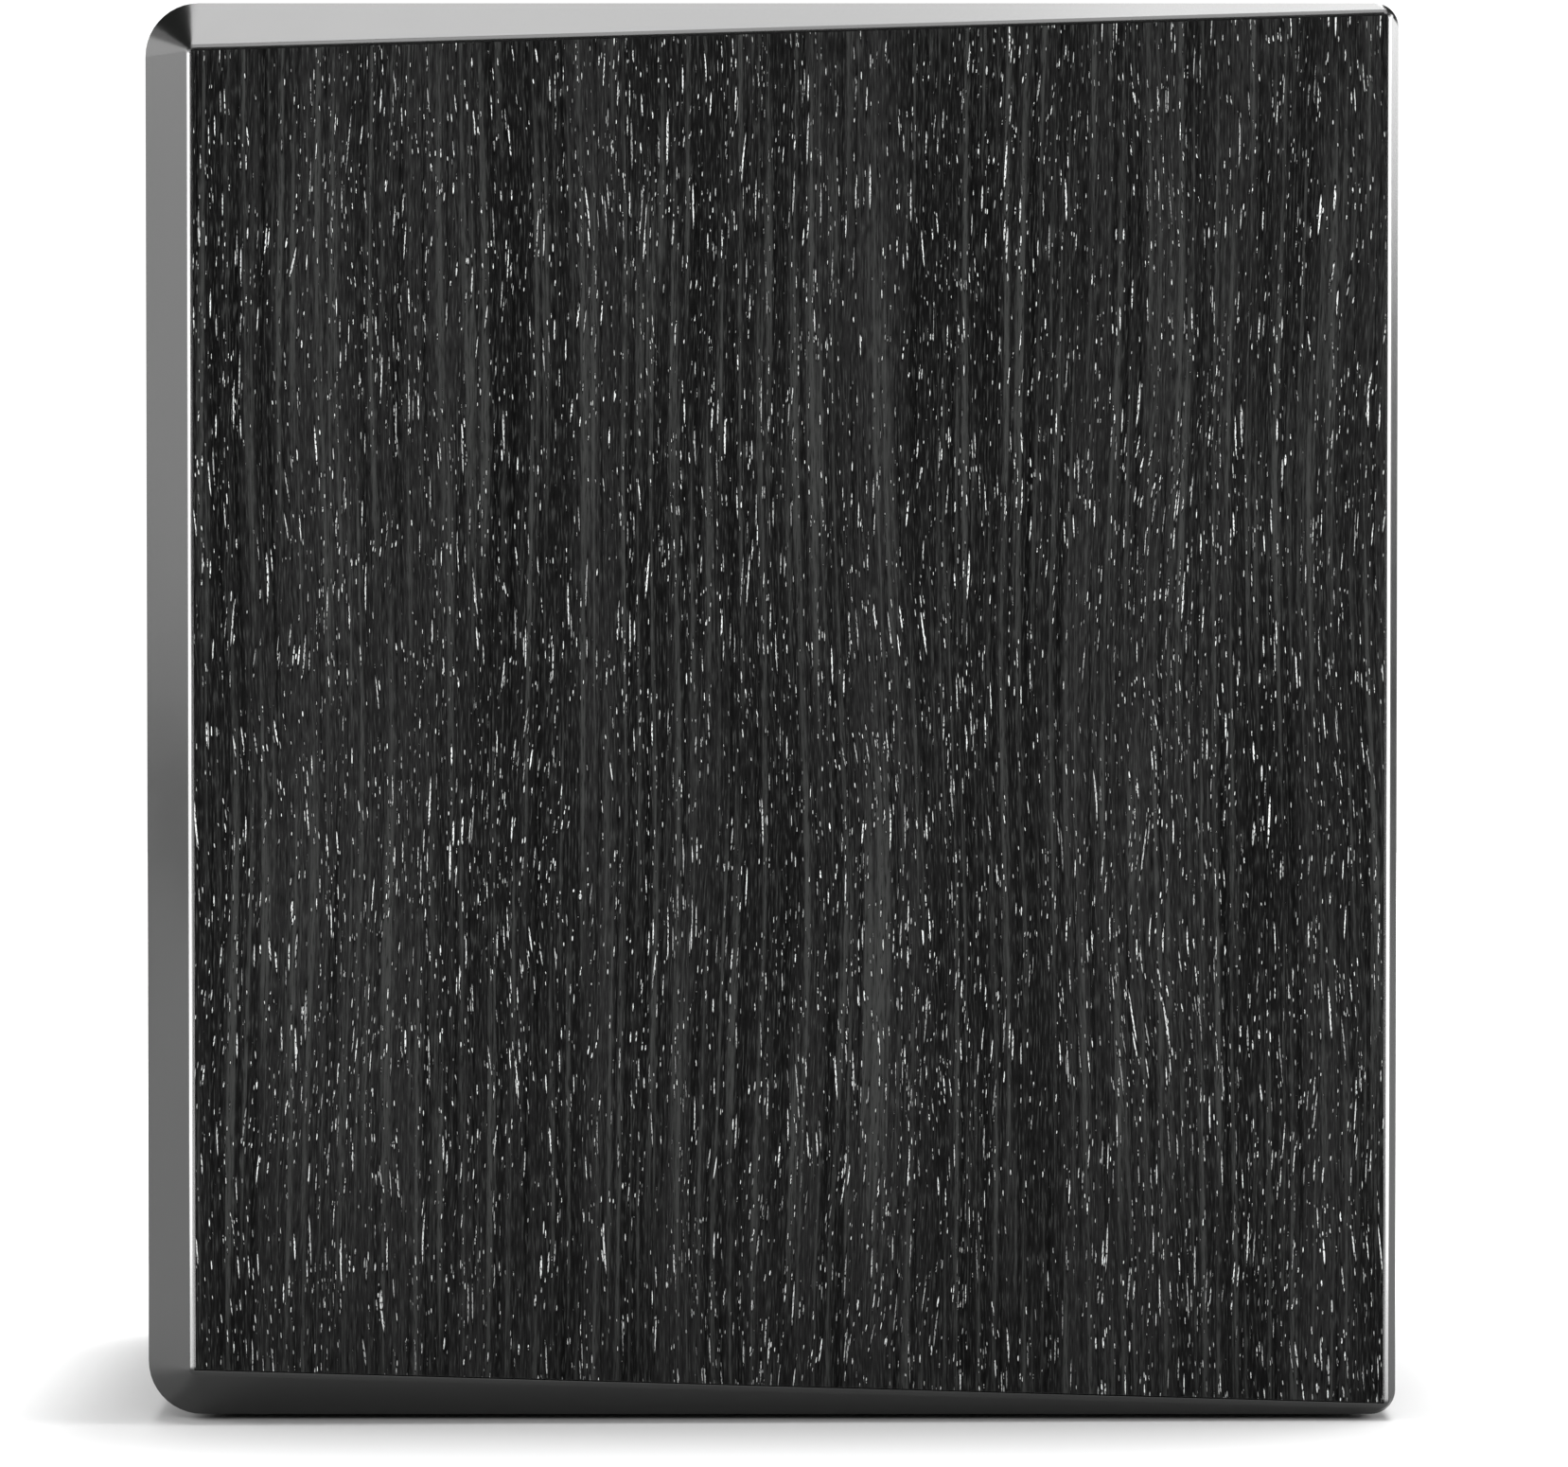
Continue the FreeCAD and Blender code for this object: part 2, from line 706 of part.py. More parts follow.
def woofer_terminals():
    """The strip that stands on the basket's lowest spoke, with its two lugs."""
    y0, y1 = woofer_depth(woofer_lug_depth - 18), woofer_depth(woofer_lug_depth)
    z = woofer_z - woofer_lug_drop
    strip = block(-13, 13, y0, y1, z - 1.5, z + 1.5)
    return fused([largest_solid(strip.cut(woofer_basket()))] + lug_pair(y1, z))


def woofer_leads():
    """Two braided leads that hang in a bow from the terminal strip to the back of the cone."""
    d = woofer_depth
    leads = []
    for x in (-woofer_lead_half_gap, woofer_lead_half_gap):
        foot = woofer_z - woofer_lug_drop + 1.5
        route = [V(x, d(35), foot), V(x, d(35), foot + 8), V(x, d(31), foot + 18),
                 V(x, d(31.5), foot + 29), V(x, d(26.6), foot + 36.5)]
        leads.append(tube(route, woofer_lead_radius))
    return Part.Compound(leads)


# ---- tweeter -----------------------------------------------------------------------------
def tweeter_depth(depth):
    return baffle_y + depth


def tweeter_faceplate():
    """The plate with a shallow waveguide down to the dome."""
    d = tweeter_depth
    throat, mouth = tweeter_throat_radius, tweeter_mouth_radius
    middle = ((throat + mouth) / 2 - 2.2, d(3.1))
    plate = turned(
        tweeter_z,
        (throat, d(tweeter_throat_depth)),
        (middle, (mouth, d(0))),
        (tweeter_flange_radius - 0.6, d(0)),
        (tweeter_flange_radius, d(0.6)),
        (tweeter_flange_radius, d(tweeter_flange_thickness)),
        (tweeter_cutout_radius - 0.5, d(tweeter_flange_thickness)),
        (tweeter_plate_radius, d(tweeter_seat_depth)),
        (tweeter_rim_radius + seat_clearance, d(tweeter_seat_depth)),
        (tweeter_rim_radius + seat_clearance, d(tweeter_dome_base)),
        (throat, d(tweeter_dome_base)),
    )
    return plate.cut(screw_holes(tweeter_screw, tweeter_screw_places(), baffle_y))


def tweeter_gasket():
    y0 = tweeter_depth(tweeter_flange_thickness)
    seal = ring(tweeter_z, tweeter_cutout_radius, tweeter_flange_radius - 0.5, y0, y0 + gasket_thickness)
    return seal.cut(screw_holes(tweeter_screw, tweeter_screw_places(), baffle_y))


def dome_cap(radius, height, wall, base_y, skirt=0.0):
    """A thin spherical cap that bulges forward from base_y, on a straight skirt behind it."""
    inner_r, inner_h = radius - wall, height - wall
    back = [(radius, base_y + skirt), (inner_r, base_y + skirt)] if skirt else []
    return turned(
        tweeter_z,
        (0, base_y - height),
        (cap_middle(radius, height, base_y), (radius, base_y)),
        *back,
        (inner_r, base_y),
        (cap_middle(inner_r, inner_h, base_y), (0, base_y - inner_h)),
    )


def tweeter_dome():
    base_y = tweeter_depth(tweeter_dome_base)
    return dome_cap(tweeter_dome_radius, tweeter_dome_height, tweeter_dome_wall, base_y)


def tweeter_suspension():
    """A small half roll round the dome, glued to a flat ring on the motor's top plate."""
    d = tweeter_depth
    wall = 0.3
    inner, outer = tweeter_dome_radius, tweeter_roll_radius
    middle, rise = (inner + outer) / 2, (outer - inner) / 2 - 0.6
    front, back = tweeter_dome_base, tweeter_dome_base + wall
    return turned(
        tweeter_z,
        (tweeter_coil_radius, d(front)),
        (inner, d(front)),
        ((middle, d(front - rise)), (outer, d(front))),
        (tweeter_rim_radius, d(front)),
        (tweeter_rim_radius, d(tweeter_seat_depth)),
        (outer, d(tweeter_seat_depth)),
        (outer, d(back)),
        ((middle, d(back - rise)), (inner, d(back))),
        (tweeter_coil_radius, d(back)),
    )


def tweeter_voice_coil():
    d = tweeter_depth
    inner, outer = tweeter_coil_radius - tweeter_former_wall, tweeter_coil_radius
    winding = outer + tweeter_winding_wall
    start, end = tweeter_seat_depth + 0.6, tweeter_seat_depth + 3.4
    return turned(tweeter_z, (inner, d(tweeter_dome_base)), (outer, d(tweeter_dome_base)), (outer, d(start)),
                  (winding, d(start)), (winding, d(end)), (inner, d(end)))


def tweeter_guard():
    """A thin perforated cap over the dome, its skirt pressed into the waveguide's throat."""
    base_y = tweeter_depth(tweeter_throat_depth)
    cap = dome_cap(tweeter_throat_radius, tweeter_guard_height, tweeter_guard_wall, base_y,
                   tweeter_guard_skirt)
    pitch = tweeter_guard_pitch
    rows = int(tweeter_throat_radius / pitch) + 1
    start = base_y - tweeter_guard_height - 1
    holes = []
    for row in range(-rows, rows + 1):
        for column in range(-rows, rows + 1):
            x = pitch * (column + 0.5 * (row % 2))
            z = pitch * row * math.sqrt(3) / 2
            if math.hypot(x, z) < tweeter_throat_radius - 2.4:
                holes.append(rod_y(tweeter_guard_hole, start, base_y, x, tweeter_z + z))
    return cap.cut(Part.Compound(holes))


def tweeter_top_plate():
    inner = tweeter_coil_radius + tweeter_winding_wall + tweeter_gap_clearance
    y0 = tweeter_depth(tweeter_seat_depth)
    return ring(tweeter_z, inner, tweeter_plate_radius, y0, y0 + tweeter_plate_thickness)


def tweeter_magnet():
    y0 = tweeter_depth(tweeter_magnet_depth)
    return ring(tweeter_z, tweeter_coil_radius + 6, tweeter_magnet_radius, y0, y0 + tweeter_magnet_thickness)


def tweeter_yoke():
    d = tweeter_depth
    pole = tweeter_coil_radius - tweeter_former_wall - tweeter_gap_clearance
    vent = pole_vent_radius
    return turned(tweeter_z, (vent, d(tweeter_seat_depth)), (pole, d(tweeter_seat_depth)),
                  (pole, d(tweeter_back_depth)), (tweeter_plate_radius, d(tweeter_back_depth)),
                  (tweeter_plate_radius, d(tweeter_chamber_start)), (vent, d(tweeter_chamber_start)))


def tweeter_rear_chamber():
    """A cup behind the vented pole."""
    d = tweeter_depth
    outer = tweeter_plate_radius - 1.0
    inner = outer - tweeter_chamber_wall
    start, end = tweeter_chamber_start, tweeter_chamber_start + tweeter_chamber_depth
    return turned(tweeter_z, (inner, d(start)), (outer, d(start)), (outer, d(end - 2)), (outer - 2, d(end)),
                  (0, d(end)), (0, d(end - tweeter_chamber_wall)), (inner, d(end - tweeter_chamber_wall)))


def tweeter_screws():
    return front_screws(tweeter_screw, tweeter_screw_places(), baffle_y)


def tweeter_terminals():
    """A strip behind the faceplate, below the magnet, with its two lugs."""
    y0, y1 = tweeter_depth(tweeter_flange_thickness + 2), tweeter_depth(tweeter_lug_depth)
    z = tweeter_z - tweeter_lug_drop
    strip = block(-11, 11, y0, y1, z - 1.5, z + 1.5).cut(tweeter_faceplate())
    return fused([largest_solid(strip)] + lug_pair(y1, z))


# ---- port --------------------------------------------------------------------------------
def port_tube():
    """The tube with its outer flare and flange."""
    r, wall, flare = port_radius, port_wall, port_flare
    sweep = flare * (1 - math.sqrt(0.5))
    inside = (r + sweep, rear_y - sweep)
    outside_y = rear_y - port_flange_thickness
    tube = turned(
        port_z,
        (r, rear_y - flare),
        (inside, (r + flare, rear_y)),
        (port_flange_radius - 0.5, rear_y),
        (port_flange_radius, rear_y - 0.5),
        (port_flange_radius, outside_y),
        (r + flare + wall, outside_y),
        (r + wall, rear_y - flare - wall),
        (r + wall, rear_y - port_length),
        (r, rear_y - port_length),
    )
    return tube.cut(screw_holes(rear_screw, port_screw_places(), rear_y, backwards=True))


def port_inner_flare():
    """A flared collar pushed over the inner end of the tube."""
    r, wall = port_radius, port_wall
    end = rear_y - port_length
    slip = r + wall + seat_clearance
    lip = port_lip
    curve = lip * (1 - math.sqrt(0.5))
    return turned(
        port_z,
        (r, end),
        ((r + curve, end - lip + curve), (r + lip, end - lip)),
        (r + lip + wall, end - lip),
        (slip + wall, end + 1.0),
        (slip + wall, end + port_sleeve),
        (slip, end + port_sleeve),
        (slip, end),
    )


# ---- terminals ---------------------------------------------------------------------------
def cup_slab(grow, y0, y1):
    """The terminal cup's outline, grown all round, between two depths."""
    x, z = cup_width / 2 + grow, cup_height / 2 + grow
    corners = [V(-x, y0, cup_z - z), V(x, y0, cup_z - z), V(x, y0, cup_z + z), V(-x, y0, cup_z + z)]
    radius = cup_corner_radius + max(grow, 0) / 2
    return Part.Face(rounded_loop(corners, [radius] * 4)).extrude(V(0, y1 - y0, 0))


def terminal_cup():
    floor_back = cup_floor_y - cup_wall
    flange = cup_slab(cup_flange, rear_y - cup_flange_thickness, rear_y)
    well = cup_slab(cup_wall, floor_back, rear_y - cup_flange_thickness)
    hollow = cup_slab(0.0, cup_floor_y, rear_y + 1)
    cup = flange.fuse(well).removeSplitter().cut(hollow)
    hole_radius = stud_radius + screw_clearance
    holes = [rod_y(hole_radius, floor_back - 1, cup_floor_y + 1, x, cup_z) for x in post_places()]
    holes.append(screw_holes(rear_screw, cup_screw_places(), rear_y, backwards=True))
    return cup.cut(holes)


def terminal_gasket():
    y0 = rear_y - cup_flange_thickness - gasket_thickness
    seal = cup_slab(cup_flange - 0.5, y0, y0 + gasket_thickness)
    seal = seal.cut(cup_slab(cup_wall + seat_clearance, y0 - 1, y0 + gasket_thickness + 1))
    return seal.cut(screw_holes(rear_screw, cup_screw_places(), rear_y, backwards=True))


def rear_screws():
    return back_screws(rear_screw, port_screw_places() + cup_screw_places(), rear_y)


def post_places():
    """The x of the negative post, then of the positive one."""
    return (-post_spacing / 2, post_spacing / 2)


def binding_post_studs():
    """Threaded studs through the cup, bored for a banana plug and cross-drilled for bare wire."""
    back = cup_floor_y - cup_wall - post_nut_thickness - tab_thickness - stud_tail
    tip = cup_floor_y + stud_length
    hole_y = cup_floor_y + collar_thickness + wire_hole_radius + 0.4
    studs = []
    for x in post_places():
        stud = rod_y(stud_radius, back, tip, x, cup_z)
        stud = stud.cut([rod_y(banana_radius, tip - banana_depth, tip + 1, x, cup_z),
                         rod_z(wire_hole_radius, cup_z - 10, cup_z + 10, x, hole_y)])
        studs.append(stud)
    return Part.Compound(studs)


def post_collar(x):
    """The coloured insulating collar under each cap."""
    y0 = cup_floor_y
    collar = rod_y(collar_radius, y0, y0 + collar_thickness, x, cup_z)
    return collar.cut(rod_y(stud_radius, y0 - 1, y0 + collar_thickness + 1, x, cup_z))


def clamp_washer(x):
    y0 = cup_floor_y + collar_thickness
    washer = rod_y(washer_radius, y0, y0 + washer_thickness, x, cup_z)
    return washer.cut(rod_y(stud_radius + running_clearance, y0 - 1, y0 + washer_thickness + 1, x, cup_z))


def binding_cap(x):
    """A fluted cap that screws along the stud, open at its end for the plug."""
    y0 = cup_floor_y + collar_thickness + washer_thickness
    y1 = y0 + cap_length
    cap = rod_y(cap_radius, y0, y1, x, cup_z)
    ends = [e for e in cap.Edges if e.Length > cap_radius and e.Closed]
    cap = cap.makeFillet(0.8, ends)
    bore = rod_y(stud_radius + running_clearance, y0 - 1, y1 - cap_end_wall, x, cup_z)
    mouth = rod_y(cap_end_hole, y0, y1 + 1, x, cup_z)
    flutes = []
    for fx, fz in around(cup_z, cap_radius + 0.35, cap_flutes):
        flutes.append(rod_y(0.75, y0 + 2.5, y1 - 3.0, x + fx, fz))
    return cap.cut([bore, mouth] + flutes)


def post_nuts():
    """The hexagon nut and solder tab behind each post."""
    back = cup_floor_y - cup_wall
    parts = []
    for x in post_places():
        hexagon = [V(x + hx, back, hz) for hx, hz in around(cup_z, post_nut_radius, 6)]
        nut = Part.Face(Part.makePolygon(hexagon + hexagon[:1])).extrude(V(0, -post_nut_thickness, 0))
        y0 = back - post_nut_thickness
        tab = block(x - 4.5, x + 4.5, y0 - tab_thickness, y0, cup_z - tab_drop, cup_z + 5.5)
        hole = rod_y(stud_radius, y0 - 2, back + 1, x, cup_z)
        parts.append(nut.fuse(tab).cut(hole))
    return Part.Compound(parts)


# ---- crossover ---------------------------------------------------------------------------
def board_screw_places():
    reach_x = board_width / 2 - 6
    return [(x, y) for x in (-reach_x, reach_x) for y in (board_front_y + 6, board_rear_y - 6)]


def crossover_board():
    board = block(-board_width / 2, board_width / 2, board_front_y, board_rear_y, board_z, board_top_z)
    return board.cut([rod_z(1.8, board_z - 1, board_top_z + 1, x, y) for x, y in board_screw_places()])


def crossover_standoffs():
    """Nylon spacers with their screws."""
    posts = []
    for x, y in board_screw_places():
        spacer = rod_z(4.0, floor_z, board_z, x, y)
        head = rod_z(3.2, board_top_z, board_top_z + 1.8, x, y)
        shank = rod_z(1.7, floor_z, board_top_z, x, y)
        posts.append(fused([spacer, head, shank]))
    return Part.Compound(posts)


coil_sizes = {
    "bass": {"x": -28.0, "y": 30.0, "radius": 23.0, "core": 9.0, "height": 20.0},
    "treble": {"x": 24.0, "y": 24.0, "radius": 15.0, "core": 6.0, "height": 14.0},
}
capacitor_sizes = [
    {"x": 38.0, "y": 58.0, "radius": 9.0, "length": 36.0},
    {"x": 12.0, "y": 66.0, "radius": 8.0, "length": 32.0},
    {"x": -12.0, "y": 70.0, "radius": 6.5, "length": 24.0},
]
resistor_sizes = [
    {"x": -34.5, "y": 66.0},
    {"x": -34.5, "y": 80.0},
]


def crossover_coils():
    """Air-core windings standing on the board."""
    coils = []
    for size in coil_sizes.values():
        x, y = size["x"], board_front_y + size["y"]
        top = board_top_z + size["height"]
        winding = rod_z(size["radius"], board_top_z, top, x, y)
        winding = winding.makeFillet(2.5, [e for e in winding.Edges if e.Closed])
        coils.append(winding.cut(rod_z(size["core"], board_z, top + 1, x, y)))
    return Part.Compound(coils)


def crossover_capacitors():
    cans = []
    for size in capacitor_sizes:
        y = board_front_y + size["y"]
        z = board_top_z + size["radius"]
        can = rod_y(size["radius"], y - size["length"] / 2, y + size["length"] / 2, size["x"], z)
        cans.append(can.makeFillet(1.2, [e for e in can.Edges if e.Closed]))
    return Part.Compound(cans)


def crossover_resistors():
    bricks = []
    for size in resistor_sizes:
        x, y = size["x"], board_front_y + size["y"]
        brick = block(x - 12, x + 12, y - 4.5, y + 4.5, board_top_z, board_top_z + 9)
        bricks.append(brick.makeFillet(0.8, brick.Edges))
    return Part.Compound(bricks)


# ---- wiring ------------------------------------------------------------------------------
def tube(points, radius):
    """A round wire along straight runs joined by tangent arcs as large as the runs allow."""
    edges = []
    here = points[0]
    for before, corner, after in zip(points, points[1:], points[2:]):
        back, ahead = before - corner, after - corner
        run = min(back.Length, ahead.Length)
        back.normalize()
        ahead.normalize()
        turn = math.pi - back.getAngle(ahead)
        reach = 0.45 * run
        bend = reach / math.tan(turn / 2)
        inward = (back + ahead).normalize()
        centre = corner + inward * math.hypot(bend, reach)
        first, last = corner + back * reach, corner + ahead * reach
        edges.append(Part.LineSegment(here, first).toShape())
        edges.append(Part.Arc(first, centre - inward * bend, last).toShape())
        print("wire bend radius", round(bend, 1))
        here = last
    edges.append(Part.LineSegment(here, points[-1]).toShape())
    path = Part.Wire(edges)
    start = Part.Wire(Part.makeCircle(radius, points[0], points[1] - points[0]))
    wire = path.makePipeShell([start], True, True)
    share = wire.Volume / (math.pi * radius ** 2 * path.Length)
    print("wire length", round(path.Length), "volume over section times length", round(share, 4))
    return wire


def wire_routes(side):
    """The three wires of one polarity: side is -1 for negative and 1 for positive."""
    tab_x = side * post_spacing / 2
    tab_y = cup_floor_y - cup_wall - post_nut_thickness - tab_thickness - wire_radius
    tab_z = cup_z - tab_drop + 1
    lug_x = side * lug_half_gap
    lug_middle = tab_thickness / 2
    feed_x = side * 21.0
    pad_x = side * 3.5
    foot = board_top_z
    source = [
        V(tab_x, tab_y, tab_z),
        V(tab_x, tab_y, tab_z - 8),
        V(feed_x - side, tab_y + 3, (tab_z + foot) / 2 + 2),
        V(feed_x, board_rear_y - 6, foot + 11),
        V(feed_x, board_rear_y - 6.5, foot),
    ]
    sill = floor_z + brace_strip
    woofer_y = woofer_depth(woofer_lug_depth) + lug_length
    woofer_lug_z = woofer_z - woofer_lug_drop
    bass = [
        V(pad_x, board_front_y + 5, foot),
        V(pad_x, board_front_y + 4.5, foot + 11),
        V(pad_x, board_front_y - 7, sill + 8),
        V(pad_x, brace_y - 20, sill + 9),
        V(lug_x, (brace_y + woofer_y) / 2, woofer_lug_z + 5),
        V(lug_x, woofer_y + 14, woofer_lug_z + 0.8),
        V(lug_x, woofer_y, woofer_lug_z + lug_middle),
    ]
    edge_x = side * (board_width / 2 - 3)
    side_x = side * (cavity_x - 7.0)
    riser_y = brace_y + brace_thickness + 18
    tweeter_y = tweeter_depth(tweeter_lug_depth) + lug_length
    tweeter_lug_z = tweeter_z - tweeter_lug_drop
    high = tweeter_lug_z - 12
    treble = [
        V(edge_x, board_front_y + 16, foot),
        V(edge_x, board_front_y + 16, foot + 16),
        V(side_x, riser_y + 5, foot + 40),
        V(side_x - side * 1.5, riser_y + 1, foot + 84),
        V(side_x, riser_y - 1, foot + 128),
        V(side_x - side * 5, riser_y - 3, high - 20),
        V(side * (cavity_x - brace_strip - 12), brace_y + brace_thickness + 4, high),
        V(side * 30, brace_y - 30, high + 5),
        V(side * 17, (brace_y - 30 + tweeter_y) / 2, high + 13),
        V(lug_x, tweeter_y + 22, tweeter_lug_z + 1.5),
        V(lug_x, tweeter_y, tweeter_lug_z + lug_middle),
    ]
    return [source, bass, treble]


def wires(side):
    return Part.Compound([tube(route, wire_radius) for route in wire_routes(side)])


# ---- wadding -----------------------------------------------------------------------------
def softened(shape, radius):
    return shape.makeFillet(radius, shape.Edges)


def wadding():
    """Two soft pads: one under the top panel, one on the rear panel under the port."""
    top_reach = cavity_x - 6
    top_low = port_z + port_radius + port_wall + 5
    top_pad = block(-top_reach, top_reach, tweeter_depth(60), brace_y - 3, top_low, ceiling_z - 0.5)
    rear_reach = cavity_x - 12
    rear_low = cup_z + cup_height / 2 + cup_wall + 8
    rear_high = port_z - port_flange_radius - 4
    rear_pad = block(-rear_reach, rear_reach, rear_inner_y - 26, rear_inner_y - 0.5, rear_low, rear_high)
    return Part.Compound([softened(top_pad, 6.0), softened(rear_pad, 8.0)])


# ---- all the sub-parts -------------------------------------------------------------------
def sub_parts():
    negative_x, positive_x = post_places()
    right_cheek, right_veneer, right_panel = cheek(), veneer(), side_panel()
    return {
        "top_panel": top_panel(),
        "bottom_panel": bottom_panel(),
        "front_baffle": front_baffle(),
        "rear_panel": rear_panel(),
        "right_side_panel": right_panel,
        "left_side_panel": mirrored_x(right_panel),
        "right_cheek": right_cheek,
        "left_cheek": mirrored_x(right_cheek),
        "right_veneer": right_veneer,
        "left_veneer": mirrored_x(right_veneer),
        "window_brace": window_brace(),
        "feet": feet(),
        "stand_inserts": stand_inserts(),
        "woofer_basket": woofer_basket(),
        "woofer_gasket": woofer_gasket(),
        "woofer_trim_ring": woofer_trim_ring(),
        "woofer_surround": woofer_surround(),
        "woofer_cone": woofer_cone(),
        "woofer_voice_coil": woofer_voice_coil(),
        "woofer_spider": woofer_spider(),
        "woofer_phase_plug": woofer_phase_plug(),
        "woofer_top_plate": woofer_top_plate(),
        "woofer_magnet": woofer_magnet(),
        "woofer_yoke": woofer_yoke(),
        "woofer_screws": woofer_screws(),
        "woofer_terminals": woofer_terminals(),
        "woofer_leads": woofer_leads(),
        "tweeter_faceplate": tweeter_faceplate(),
        "tweeter_gasket": tweeter_gasket(),
        "tweeter_dome": tweeter_dome(),
        "tweeter_suspension": tweeter_suspension(),
        "tweeter_voice_coil": tweeter_voice_coil(),
        "tweeter_guard": tweeter_guard(),
        "tweeter_top_plate": tweeter_top_plate(),
        "tweeter_magnet": tweeter_magnet(),
        "tweeter_yoke": tweeter_yoke(),
        "tweeter_rear_chamber": tweeter_rear_chamber(),
        "tweeter_screws": tweeter_screws(),
        "tweeter_terminals": tweeter_terminals(),
        "port_tube": port_tube(),
        "port_inner_flare": port_inner_flare(),
        "terminal_cup": terminal_cup(),
        "terminal_gasket": terminal_gasket(),
        "rear_screws": rear_screws(),
        "binding_post_studs": binding_post_studs(),
        "collar_negative": post_collar(negative_x),
        "collar_positive": post_collar(positive_x),
        "clamp_washer_negative": clamp_washer(negative_x),
        "clamp_washer_positive": clamp_washer(positive_x),
        "binding_cap_negative": binding_cap(negative_x),
        "binding_cap_positive": binding_cap(positive_x),
        "post_nuts": post_nuts(),
        "crossover_board": crossover_board(),
        "crossover_standoffs": crossover_standoffs(),
        "crossover_coils": crossover_coils(),
        "crossover_capacitors": crossover_capacitors(),
        "crossover_resistors": crossover_resistors(),
        "wires_negative": wires(-1),
        "wires_positive": wires(1),
        "wadding": wadding(),
    }


def main():
    os.makedirs("parts", exist_ok=True)
    for name, shape in sub_parts().items():
        solids = shape.Solids
        print(f"{name:24s} solids {len(solids)}  volume {shape.Volume:12.1f}  valid {shape.isValid()}")
        shape = solids[0] if len(solids) == 1 else Part.Compound(solids)
        shape.exportStep(f"parts/{name}.step")


main()
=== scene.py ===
import bmesh
import bpy
import json
import math
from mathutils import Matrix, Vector


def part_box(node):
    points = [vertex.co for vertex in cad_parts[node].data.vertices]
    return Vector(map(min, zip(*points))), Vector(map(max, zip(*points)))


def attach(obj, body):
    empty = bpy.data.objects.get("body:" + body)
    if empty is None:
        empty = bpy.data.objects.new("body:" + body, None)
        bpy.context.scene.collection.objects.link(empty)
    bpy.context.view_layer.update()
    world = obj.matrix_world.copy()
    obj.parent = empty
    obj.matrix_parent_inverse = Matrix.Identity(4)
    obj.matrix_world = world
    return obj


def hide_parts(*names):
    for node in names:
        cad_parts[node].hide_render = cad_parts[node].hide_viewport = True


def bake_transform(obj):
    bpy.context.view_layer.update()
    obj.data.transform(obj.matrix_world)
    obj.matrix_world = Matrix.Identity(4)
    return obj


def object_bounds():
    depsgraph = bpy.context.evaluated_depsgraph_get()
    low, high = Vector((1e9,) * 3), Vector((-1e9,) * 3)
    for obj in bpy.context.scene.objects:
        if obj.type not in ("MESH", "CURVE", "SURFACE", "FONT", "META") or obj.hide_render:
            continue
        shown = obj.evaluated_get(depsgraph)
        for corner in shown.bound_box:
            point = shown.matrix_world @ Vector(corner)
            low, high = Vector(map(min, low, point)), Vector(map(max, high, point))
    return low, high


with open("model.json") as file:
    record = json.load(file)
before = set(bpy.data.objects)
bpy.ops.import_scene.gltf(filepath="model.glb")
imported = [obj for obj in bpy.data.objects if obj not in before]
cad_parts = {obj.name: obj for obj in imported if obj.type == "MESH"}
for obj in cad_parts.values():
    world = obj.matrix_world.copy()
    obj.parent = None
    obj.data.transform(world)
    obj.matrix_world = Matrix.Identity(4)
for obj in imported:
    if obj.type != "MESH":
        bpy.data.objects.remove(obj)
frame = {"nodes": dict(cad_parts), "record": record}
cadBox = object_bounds()
nodes = frame["nodes"]
print("frame loaded")


def linear(hexColour):
    # sRGB hex to the linear colour that shaders take
    channels = [int(hexColour[i:i + 2], 16) / 255 for i in (1, 3, 5)]
    return [c / 12.92 if c <= 0.04045 else ((c + 0.055) / 1.055) ** 2.4 for c in channels] + [1.0]


def addNode(tree, kind, inputs=(), output=0, **settings):
    # adds a node with its settings; inputs go by place or by name, each a value or another node's output
    node = tree.nodes.new("ShaderNode" + kind)
    for name, value in settings.items():
        setattr(node, name, value)
    for key, value in inputs.items() if isinstance(inputs, dict) else enumerate(inputs):
        if isinstance(value, bpy.types.NodeSocket):
            tree.links.new(value, node.inputs[key])
        else:
            node.inputs[key].default_value = value
    return node.outputs[output] if node.outputs else node


def startMaterial(name, looks):
    # a new material, with its shader's sockets set and its position in millimetres ready to use
    material = bpy.data.materials.new(name)
    material.use_nodes = True
    tree = material.node_tree
    shader = tree.nodes["Principled BSDF"]
    for socket, value in looks.items():
        shader.inputs[socket].default_value = value
    place = addNode(tree, "TexCoord", output="Object")
    millimetres = addNode(tree, "VectorMath", {0: place, "Scale": 1000.0}, operation="SCALE")
    return material, tree, shader, millimetres


smooth = {"interpolation_type": "SMOOTHSTEP"}  # a map range that eases in and out
colourMix = {"output": 2, "data_type": "RGBA"}  # a mix of two colours: share, 6 the first, 7 the second

# sprayed satin lacquer, black, on fibreboard rubbed smooth: soft-edged reflections with a faint orange peel
lacquerLooks = {
    "colour": "#121312", "ior": 1.52, "coat": 0.3, "coatRoughness": 0.16, "roughness": (0.19, 0.25),
    "peelSize": 2.6, "peelDepth": 0.004, "hazeSize": 38.0,
    # the painted highlight on the lip beside the veneer: its grey, and the width of the lip it covers
    "lipHighlightColour": "#8f8f8f", "highlightLipWidth": 1.15,
}


